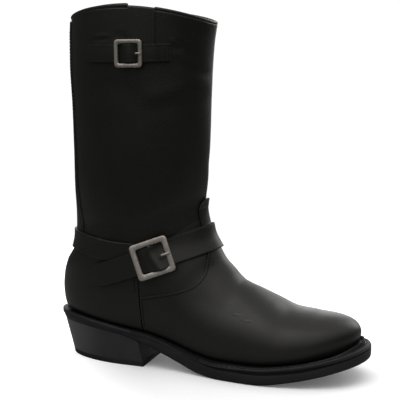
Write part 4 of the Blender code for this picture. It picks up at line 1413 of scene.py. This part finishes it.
def make_buckle(name, wrap, axis, rows, bars, size, finish):
    """Square buckle with a centre bar, lying on a strap between two angles of its route, and its prong."""
    ends = []
    for angle in bars:
        lift = route(rows, "lift", angle) + STRAP_THICKNESS + BUCKLE_CLEAR
        ends.append(wrap.spot(axis, angle, route(rows, "up", angle), lift))
    way = (ends[1] - ends[0]).normalized()
    middle = (ends[0] + ends[1]) / 2
    angle = (bars[0] + bars[1]) / 2
    above, below = (wrap.spot(axis, angle, middle.z + step, 0.0) for step in (BUCKLE_PROBE, -BUCKLE_PROBE))
    out = way.cross(above - below).normalized()
    across = out.cross(way)

    def place(u, v, n):
        return middle + way * u + across * v + out * n

    long = size["long"]
    wide = size["wide"]
    bar = size["bar"]
    thick = size["thick"]
    rings = []
    for share, height in BUCKLE_PROFILE + BUCKLE_PROFILE[:1]:
        inset = 2 * bar * share
        corner = BUCKLE_CORNER + (BUCKLE_HOLE_CORNER - BUCKLE_CORNER) * share
        loop = rounded_square(long - inset, wide - inset, corner)
        rings.append([place(u, v, height * thick) for u, v in loop])
    shape = rings_form(rings)
    turns = round_turns(ROUND_STEPS)
    radius = size["centre_bar"]
    half = wide / 2 - CENTRE_BAR_SHORT * bar
    rod = [(radius * math.cos(turn), radius * (math.sin(turn) - CENTRE_BAR_SINK)) for turn in turns]
    join(shape, solid_of([[place(u, v, n) for u, n in rod] for v in (-half, half)]))
    add_piece(name + "_buckle_frame", shape, [finish], name + "_buckle", sharp=40.0)
    start = long / 2 - bar - size["inside"]
    end = long / 2 - PRONG_SHORT
    height = thick + PRONG_CLEAR + size["prong"]
    pin = []
    for share, girth in PRONG:
        u = start + (end - start) * share
        radius = girth * size["prong"]
        pin.append([place(u, radius * math.cos(turn), height + radius * math.sin(turn)) for turn in turns])
    add_piece(name + "_prong_pin", solid_of(pin), [finish], name + "_prong", sharp=50.0)


def make_binding(wrap, finish):
    """Rolled binding on the collar, in two runs between the pull straps."""
    wall = wrap.reach(COLLAR_AXIS, PULL_ANGLE, PULL_FOOT)
    clear = math.degrees((PULL_HALF_WIDTH + BINDING_CLEAR) / wall)
    runs = (
        ("collar_binding_front", -PULL_ANGLE + clear, PULL_ANGLE - clear),
        ("collar_binding_rear", PULL_ANGLE + clear, 360 - PULL_ANGLE - clear),
    )
    turns = round_turns(BINDING_ROUND_STEPS)
    for name, start, end in runs:
        rings = []
        for i, angle in enumerate(even_steps(start, end, BINDING_STEPS)):
            up = wrap.rim_up(COLLAR_AXIS, angle)
            reach = wrap.reach(COLLAR_AXIS, angle, up - RIM_PROBE)
            way = heading(angle)
            extra = BINDING_TIP * max(0.0, 1 - abs(angle - TIP_ANGLE) / TIP_SPREAD)
            centre = Vector((COLLAR_AXIS, 0, up + BINDING_RISE + extra / 2)) + way * (reach - WALL / 2)
            girth = BINDING_RADIUS * (BINDING_END if i in (0, BINDING_STEPS) else 1.0)
            tall = Vector((0, 0, girth + extra / 2))
            rings.append([centre + way * girth * math.cos(turn) + tall * math.sin(turn) for turn in turns])
        add_piece(name + "_leather", solid_of(rings), [finish], name)


def make_pull_straps(wrap, finish, threads):
    """Strap folded over the collar at each side."""
    outside = PULL_CLEAR
    inside_face = -WALL - PULL_INSIDE_CLEAR
    face = outside + PULL_THICKNESS
    back = inside_face - PULL_THICKNESS
    half = (face - back) / 2
    centre = (face + back) / 2
    for name, middle in (("pull_strap_outer", -PULL_ANGLE), ("pull_strap_inner", PULL_ANGLE)):
        wall = wrap.reach(COLLAR_AXIS, middle, PULL_FOOT)

        def place(share, profile):
            """Points of a profile that stands at a share of the strap's half width, and the way out there."""
            angle = middle + math.degrees(PULL_HALF_WIDTH * share / wall)
            way = heading(angle)
            rim = wrap.rim_up(COLLAR_AXIS, angle)
            points = []
            for lift, up in profile(rim):
                distance = wrap.reach(COLLAR_AXIS, angle, min(up, rim - RIM_PROBE)) + lift
                points.append(Vector((COLLAR_AXIS, 0, up)) + way * distance)
            return points, way

        def folded(rim):
            """Lift and height up the outside, over the rim, down the inside and back on the other face."""
            turns = even_steps(0.0, math.pi, PULL_RUNS)
            crest = rim + PULL_FOLD_RISE
            tall = PULL_THICKNESS + PULL_FOLD_CLEAR
            drops = even_steps(PULL_FOOT, rim, PULL_RUNS)
            inner_drops = even_steps(PULL_INSIDE_FOOT, rim, PULL_RUNS)
            profile = [(face, up) for up in drops]
            profile += [(centre + half * math.cos(turn), crest + tall * math.sin(turn)) for turn in turns]
            profile += [(back, up) for up in inner_drops[::-1]] + [(inside_face, up) for up in inner_drops]
            return profile + [(outside, up) for up in drops[::-1]]

        def seam(rim):
            ends = (PULL_FOOT + PULL_SEAM_FOOT, rim - PULL_SEAM_TOP)
            return [(face, up) for up in even_steps(*ends, PULL_SEAM_STEPS)]

        rings = [place(share, folded)[0] for share in even_steps(-1.0, 1.0, PULL_STEPS)]
        add_piece(name + "_leather", solid_of(rings), [finish], name)
        stitches = bmesh.new()
        for share in (-PULL_SEAM_SHARE, PULL_SEAM_SHARE):
            points, way = place(share, seam)
            sew(stitches, [world(point) for point in points], [way] * len(points))
        add_piece(name + "_stitches", stitches, threads, None)


# Sole.


def outline_places():
    """Places along the welt line, from the heel to the toe."""
    heel_turns = even_steps(0.0, math.pi / 2, HEEL_STEPS)[1:-1]
    toe_turns = even_steps(0.0, math.pi / 2, TOE_STEPS)[1:-1]
    heel = [HEEL_ROUND + (HEEL_BACK - HEEL_ROUND) * math.cos(turn) for turn in heel_turns]
    toe = [BALL[OUTER] + (TOE_TIP - BALL[OUTER]) * math.sin(turn) for turn in toe_turns]
    return heel + even_steps(HEEL_ROUND, BALL[OUTER], WAIST_STEPS) + toe


def outline():
    """The welt line as a closed ring from the back of the heel, with the way out at each place."""
    places = outline_places()
    ring = [(HEEL_BACK, 0.0)] + [(along, welt_line(along, OUTER)) for along in places]
    ring += [(TOE_TIP, TOE_SIDE)] + [(along, welt_line(along, INNER)) for along in places[::-1]]
    found = []
    for i, (along, across) in enumerate(ring):
        before = ring[i - 1]
        after = ring[(i + 1) % len(ring)]
        way = Vector((after[0] - before[0], after[1] - before[1])).normalized()
        found.append((along, across, way.y, -way.x))
    return found


def sole_ring(reach, height, share=1.0):
    """Ring at a distance from the welt line; share below 1 draws it in towards the middle line."""
    ring = []
    for along, across, way_along, way_across in outline():
        distance = reach(along)
        spot = along + distance * way_along
        edge = across + distance * way_across
        middle = (welt_line(along, OUTER) + welt_line(along, INNER)) / 2
        ring.append((spot, middle + (edge - middle) * share, height(spot)))
    return ring


def heel_share(along):
    """From 0 at the breast of the heel to 1 at its back."""
    return (HEEL_BREAST - along) / (HEEL_BREAST - HEEL_BACK)


def heel_inset(along):
    """How far the top of the heel lies inside the edge of the outsole."""
    return HEEL_INSET + (HEEL_BACK_INSET - HEEL_INSET) * heel_share(along) * heel_share(along)


def channel_share(along):
    return smooth(SOLE_CHANNEL_PLACES, SOLE_CHANNEL_SHARES, along)


def make_outsole(finishes):
    """Slab with a rounded edge, a channel under the welt whose faces are painted dark as shade, and a flush
    rim over the heel.
    """

    def top(along):
        return sole("seat", along) - WELT_THICKNESS - SOLE_GAP

    def rise(share):
        def height(along):
            part = share
            if share > SOLE_CHANNEL_STARTS["outsole"]:
                part = 1 - (1 - share) * channel_share(along)
            return sole("tread", along) + part * (top(along) - sole("tread", along))

        return height

    def rim(amount, share):
        def reach(along):
            seat = smooth(SEAT_PLACES, SEAT_SHARES, along)
            round_share = 1 - seat if share < SOLE_CHANNEL_STARTS["outsole"] else channel_share(along)
            return sole("edge", along) - amount * round_share - seat * heel_inset(along) * (1 - share)

        return reach

    first = OUTSOLE_EDGE[0]
    last = OUTSOLE_EDGE[-1]
    rings = [sole_ring(rim(*first), rise(0.0), share) for share in CORE_SHARES[::-1]]
    rings += [sole_ring(rim(amount, share), rise(share)) for amount, share in OUTSOLE_EDGE]
    # Painted shade: the channel's faces take the dark second finish.
    dark = (len(rings) - 3, len(rings) - 2)
    rings += [sole_ring(rim(*last), rise(1.0), share) for share in CORE_SHARES]
    shape = rings_form(rings, dark)
    add_piece("outsole_slab", shape, finishes, "outsole")


def toe_share(along):
    """From 0 behind the ball to 1 at the tip."""
    return smooth(TOE_RISE, TOE_RISE_SHARES, along)


def lip(name, along):
    return look_up(LIP, LIP_COLUMNS, name, along)


def make_welt(finishes, threads):
    """Strip that slopes down from the upper, with a lip on it and a rim that leans in round the toe."""

    def slope(along, part):
        return lip("drop", along) * part / lip("place", along)

    def rise(share):
        def height(along):
            part = share
            if share < SOLE_CHANNEL_STARTS["welt"]:
                part = share * channel_share(along)
            return sole("seat", along) - WELT_THICKNESS + part * (WELT_THICKNESS - slope(along, 1.0))

        return height

    def rim(amount, share):
        def reach(along):
            under = sole("reach", along) + (sole("edge", along) - sole("reach", along)) * (1 - share)
            if share < SOLE_CHANNEL_STARTS["welt"]:
                return under - amount * channel_share(along)
            return under - amount - TOE_SLANT * toe_share(along) * share

        return reach

    def on_top(offset):
        return lambda along: lip("place", along) * sole("reach", along) + offset

    def lifted(height):
        def stand(along):
            share = LIP_FLAT * lip("size", along) + TOE_LIP * toe_share(along)
            return sole("seat", along) - lip("drop", along) + height * share

        return stand

    def stitch_place(along):
        return (lip("place", along) + WELT_STITCH_OUT) / 2

    rings = [sole_ring(rim(amount, share), rise(share)) for amount, share in WELT_EDGE]
    rings += [sole_ring(on_top(offset), lifted(height)) for offset, height in WELT_LIP]
    rings.append(sole_ring(lambda along: WELT_INSIDE, lambda along: sole("seat", along)))
    # Painted shade: the strips under the welt's rim and its top between the lip and the upper take the dark
    # second finish.
    dark = (0, 1, 2, len(rings) - 2)
    rings.append(sole_ring(lambda along: WELT_INSIDE, rise(0.0)))
    shape = rings_form(rings + rings[:1], dark)
    # Painted shade: along the waist the up-facing top of the welt takes the dark second finish.
    for face in shape.faces:
        if face.normal.z > SHADED_TOP and SHADED_WAIST[0] < drawn(face.calc_center_median()).x < SHADED_WAIST[1]:
            face.material_index = 1
    add_piece("welt_strip", shape, finishes, "welt")
    line = sole_ring(
        lambda along: stitch_place(along) * sole("reach", along),
        lambda along: sole("seat", along) - slope(along, stitch_place(along)),
    )
    line = [world(spot) for spot in line if spot[0] > SHADED_WAIST[1]]
    stitches = bmesh.new()
    up = [Vector((0, 0, 1))] * len(line)
    sew(stitches, line, up, WELT_STITCH_PITCH, WELT_STITCH_LENGTH, WELT_STITCH_RADIUS)
    add_piece("welt_stitches", stitches, threads, None)


def make_insole(finish):
    """Footbed inside the welt, with a bevelled edge."""

    def top(along):
        return sole("seat", along) + INSOLE_RISE

    def foot_up(along):
        return sole("seat", along) - WELT_THICKNESS

    def inset(amount):
        return lambda along: INSOLE_EDGE - amount

    rings = [sole_ring(inset(0.0), foot_up, share) for share in CORE_SHARES[::-1]]
    rings += [sole_ring(inset(0.0), foot_up), sole_ring(inset(0.0), lambda along: top(along) - INSOLE_BEVEL)]
    rings += [sole_ring(inset(INSOLE_BEVEL), top, share) for share in (1.0,) + CORE_SHARES]
    add_piece("insole_board", rings_form(rings), [finish], "insole")


def heel_ring(part, height, inset_more=0.0):
    """Ring of the heel at a part of its depth, 0 under the seat and 1 at the floor, closed at the breast."""
    points = []
    for along, across, way_along, way_across in outline():
        if along > HEEL_BREAST:
            continue
        share = heel_share(along)
        distance = sole("edge", along) - heel_inset(along) - inset_more
        spot = along + distance * way_along
        moved = spot + part * (HEEL_LEAN * share + BREAST_LEAN * (1 - share))
        under = sole("tread", spot) - HEEL_CLEAR
        points.append((moved, across + distance * way_across, height(under)))
    count = len(points)
    start = max(range(count), key=lambda i: (points[i][1] > 0, points[i][0]))
    points = points[start:] + points[:start]
    if points[1][0] > points[0][0] - TINY and points[1][1] < 0:
        points = points[1:] + points[:1]
    first = Vector(points[-1])
    last = Vector(points[0])
    return points + [tuple(first.lerp(last, i / BREAST_STEPS)) for i in range(1, BREAST_STEPS)]


def make_heel(stack_finishes, lift_finish):
    """Sloped stack with a breast painted darker as shade, and its top lift."""

    def sloped(share):
        return lambda under: under + (LIFT_THICKNESS + LIFT_CLEAR - under) * share

    def level(up):
        return lambda under: up

    rows = [(0.0, 0.0)]
    for i in range(1, STACK_LIFTS):
        share = i / STACK_LIFTS
        rows += [(share - LIFT_LINE_HALF, 0.0), (share, LIFT_LINE), (share + LIFT_LINE_HALF, 0.0)]
    rows.append((1.0, 0.0))
    rings = [heel_ring(share * STACK_SHARE, sloped(share), inset) for share, inset in rows]
    count = len(rings[0])
    # Painted shade: the breast takes a darker copy of the heel's finish.
    shape = solid_of(rings, range(count - BREAST_STEPS, count))
    add_piece("heel_stack_block", shape, stack_finishes, "heel_stack", sharp=30.0)
    rings = [heel_ring(part, level(up), inset) for part, up, inset in LIFT_EDGE]
    shape = solid_of(rings)
    add_piece("heel_top_lift_block", shape, [lift_finish], "heel_top_lift", sharp=30.0)


# Studio.


def add_camera():
    turn = math.radians(CAMERA_TURN)
    place = (AIM_ALONG + CAMERA_AWAY * math.sin(turn), -CAMERA_AWAY * math.cos(turn), CAMERA_UP)
    yaw = math.radians(CAMERA_TURN + CAMERA_YAW)
    pitch = math.radians(CAMERA_PITCH)
    roll = math.radians(CAMERA_ROLL)
    ahead = Vector((-math.sin(yaw) * math.cos(pitch), math.cos(yaw) * math.cos(pitch), math.sin(pitch)))
    right = Vector((math.cos(yaw), math.sin(yaw), 0))
    over = right.cross(ahead)
    right, over = (
        right * math.cos(roll) + over * math.sin(roll),
        over * math.cos(roll) - right * math.sin(roll),
    )
    camera = bpy.data.cameras.new("camera")
    camera.sensor_width = SENSOR
    camera.lens = FOCAL_PIXELS / PICTURE_PIXELS * SENSOR
    camera.clip_start = 0.01
    made = bpy.data.objects.new("camera", camera)
    made.matrix_world = Matrix.Translation(world(place)) @ Matrix((right, over, -ahead)).transposed().to_4x4()
    bpy.context.scene.collection.objects.link(made)
    bpy.context.scene.camera = made


def add_lights():
    for name, place, aim, width, height, power, mirrored in LIGHTS:
        light = bpy.data.lights.new(name, "AREA")
        light.shape = "RECTANGLE"
        light.size = width
        light.size_y = height
        light.energy = power
        made = bpy.data.objects.new(name, light)
        made.visible_glossy = mirrored
        made.location = place
        made.rotation_euler = (Vector(aim) - Vector(place)).to_track_quat("-Z", "Y").to_euler()
        bpy.context.scene.collection.objects.link(made)


def add_sky():
    """White studio; the backdrop itself looks white."""
    sky = bpy.data.worlds.new("studio")
    sky.use_nodes = True
    bpy.context.scene.world = sky
    nodes = Nodes(sky.node_tree)
    backdrop = sky.node_tree.nodes["Background"]
    nodes.feed(backdrop.inputs["Color"], (1, 1, 1, 1))
    view = nodes.node("ShaderNodeTexCoord", output="Generated")
    glow = SKY_BEFORE
    for way, start, end, strength in SKY_BANDS.values():
        lean = nodes.node("ShaderNodeVectorMath", {"operation": "DOT_PRODUCT"}, {0: view, 1: way}, "Value")
        glow = glow + nodes.between(lean, start, end, 0.0, strength)
    seen = nodes.node("ShaderNodeLightPath", output="Is Camera Ray")
    shown = nodes.node("ShaderNodeMix", {"data_type": "FLOAT"}, {0: seen, 2: glow, 3: BACKDROP})
    nodes.feed(backdrop.inputs["Strength"], shown)


def add_floor():
    """A white table top, lit so that it looks white and throws little light back on the boot."""
    shape = bmesh.new()
    size = Matrix.Diagonal(FLOOR_HALF + (1.0,))
    place = Matrix.Translation(FLOOR_MIDDLE) @ size
    bmesh.ops.create_grid(shape, x_segments=1, y_segments=1, size=1.0, matrix=place)
    mesh = bpy.data.meshes.new("floor")
    shape.to_mesh(mesh)
    shape.free()
    finish = Finish("floor", Roughness=0.6, Specular_IOR_Level=0.2, Emission_Strength=1.0)
    seen = finish.node("ShaderNodeLightPath", output="Is Camera Ray")
    ends = {0: finish.place, 1: FLOOR_CENTRE}
    away = finish.node("ShaderNodeVectorMath", {"operation": "DISTANCE"}, ends, "Value")
    glow = finish.mix(finish.between(away, *FLOOR_FADE), FLOOR_GLOW_NEAR, FLOOR_GLOW_FAR)
    finish.use(
        Base_Color=finish.mix(seen, *FLOOR_TONES),
        Emission_Color=finish.mix(seen, (0, 0, 0, 1), glow),
    )
    mesh.materials.append(finish.material)
    floor = bpy.data.objects.new("floor", mesh)
    bpy.context.scene.collection.objects.link(floor)


def main():
    """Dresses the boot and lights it."""
    bpy.context.scene.view_settings.view_transform = "Standard"
    leather = make_leather("black_leather", roughness=0.33, grain_depth=0.12)
    strap_leather = make_leather("strap_leather", roughness=0.35, grain_depth=0.1)
    lining = make_lining()
    # Both edges get a lighter tone at the back as painted sheen.
    sole_edge = make_edge("sole_edge", SOLE_TONES, 0.42, line_depth=0.2, shine=0.45, wear_and_sheen=SOLE_SHEEN)
    # Painted shade: a dark matte finish for the sole's channel, the upper's lowest part, the welt's shaded
    # strips and the straps' cut edges.
    painted_shade = make_edge("painted_shade", PAINTED_SHADE_TONES, 0.5, line_depth=0.1, shine=0.2)
    heel_edge = make_edge("heel_edge", HEEL_TONES, 0.3, line_depth=0.012, shine=0.45, wear_and_sheen=HEEL_SHEEN)
    # Painted shade: a darker copy of the heel's finish, for its breast.
    shaded_heel_breast = make_edge("shaded_heel_breast", BREAST_SHADE_TONES, 0.4, line_depth=0.03, shine=0.3)
    pewter = make_pewter()
    threads = make_threads()

    make_outsole([sole_edge, painted_shade])
    make_welt([sole_edge, painted_shade], threads)
    make_insole(lining)
    make_heel([heel_edge, shaded_heel_breast], sole_edge)
    skin = make_skin()
    make_upper(skin, [leather, lining, painted_shade, lining])
    make_vamp(skin, leather, threads)
    make_counter(skin, leather, threads)
    make_back_strip(skin, leather, threads)
    make_rear_strap(skin, strap_leather)
    wrap = Wrap(skin)
    skin.free()
    # The straps' cut edges take the dark matte finish: dyed dark edges, with painted shade.
    finishes = [strap_leather, painted_shade]
    make_strap("ankle_strap_front", wrap, ANKLE_AXIS, ANKLE_ROUTE, ANKLE_STRAP_WIDTH, finishes)
    top_strap = make_strap("top_strap", wrap, COLLAR_AXIS, TOP_ROUTE, TOP_STRAP_WIDTH, finishes)
    sew_strap_end("top_strap", top_strap, threads)
    make_buckle("ankle", wrap, ANKLE_AXIS, ANKLE_ROUTE, ANKLE_BARS, ANKLE_BUCKLE, pewter)
    make_buckle("top", wrap, COLLAR_AXIS, TOP_ROUTE, TOP_BARS, TOP_BUCKLE, pewter)
    make_binding(wrap, leather)
    make_pull_straps(wrap, strap_leather, threads)
    add_camera()
    add_lights()
    add_sky()
    add_floor()


main()
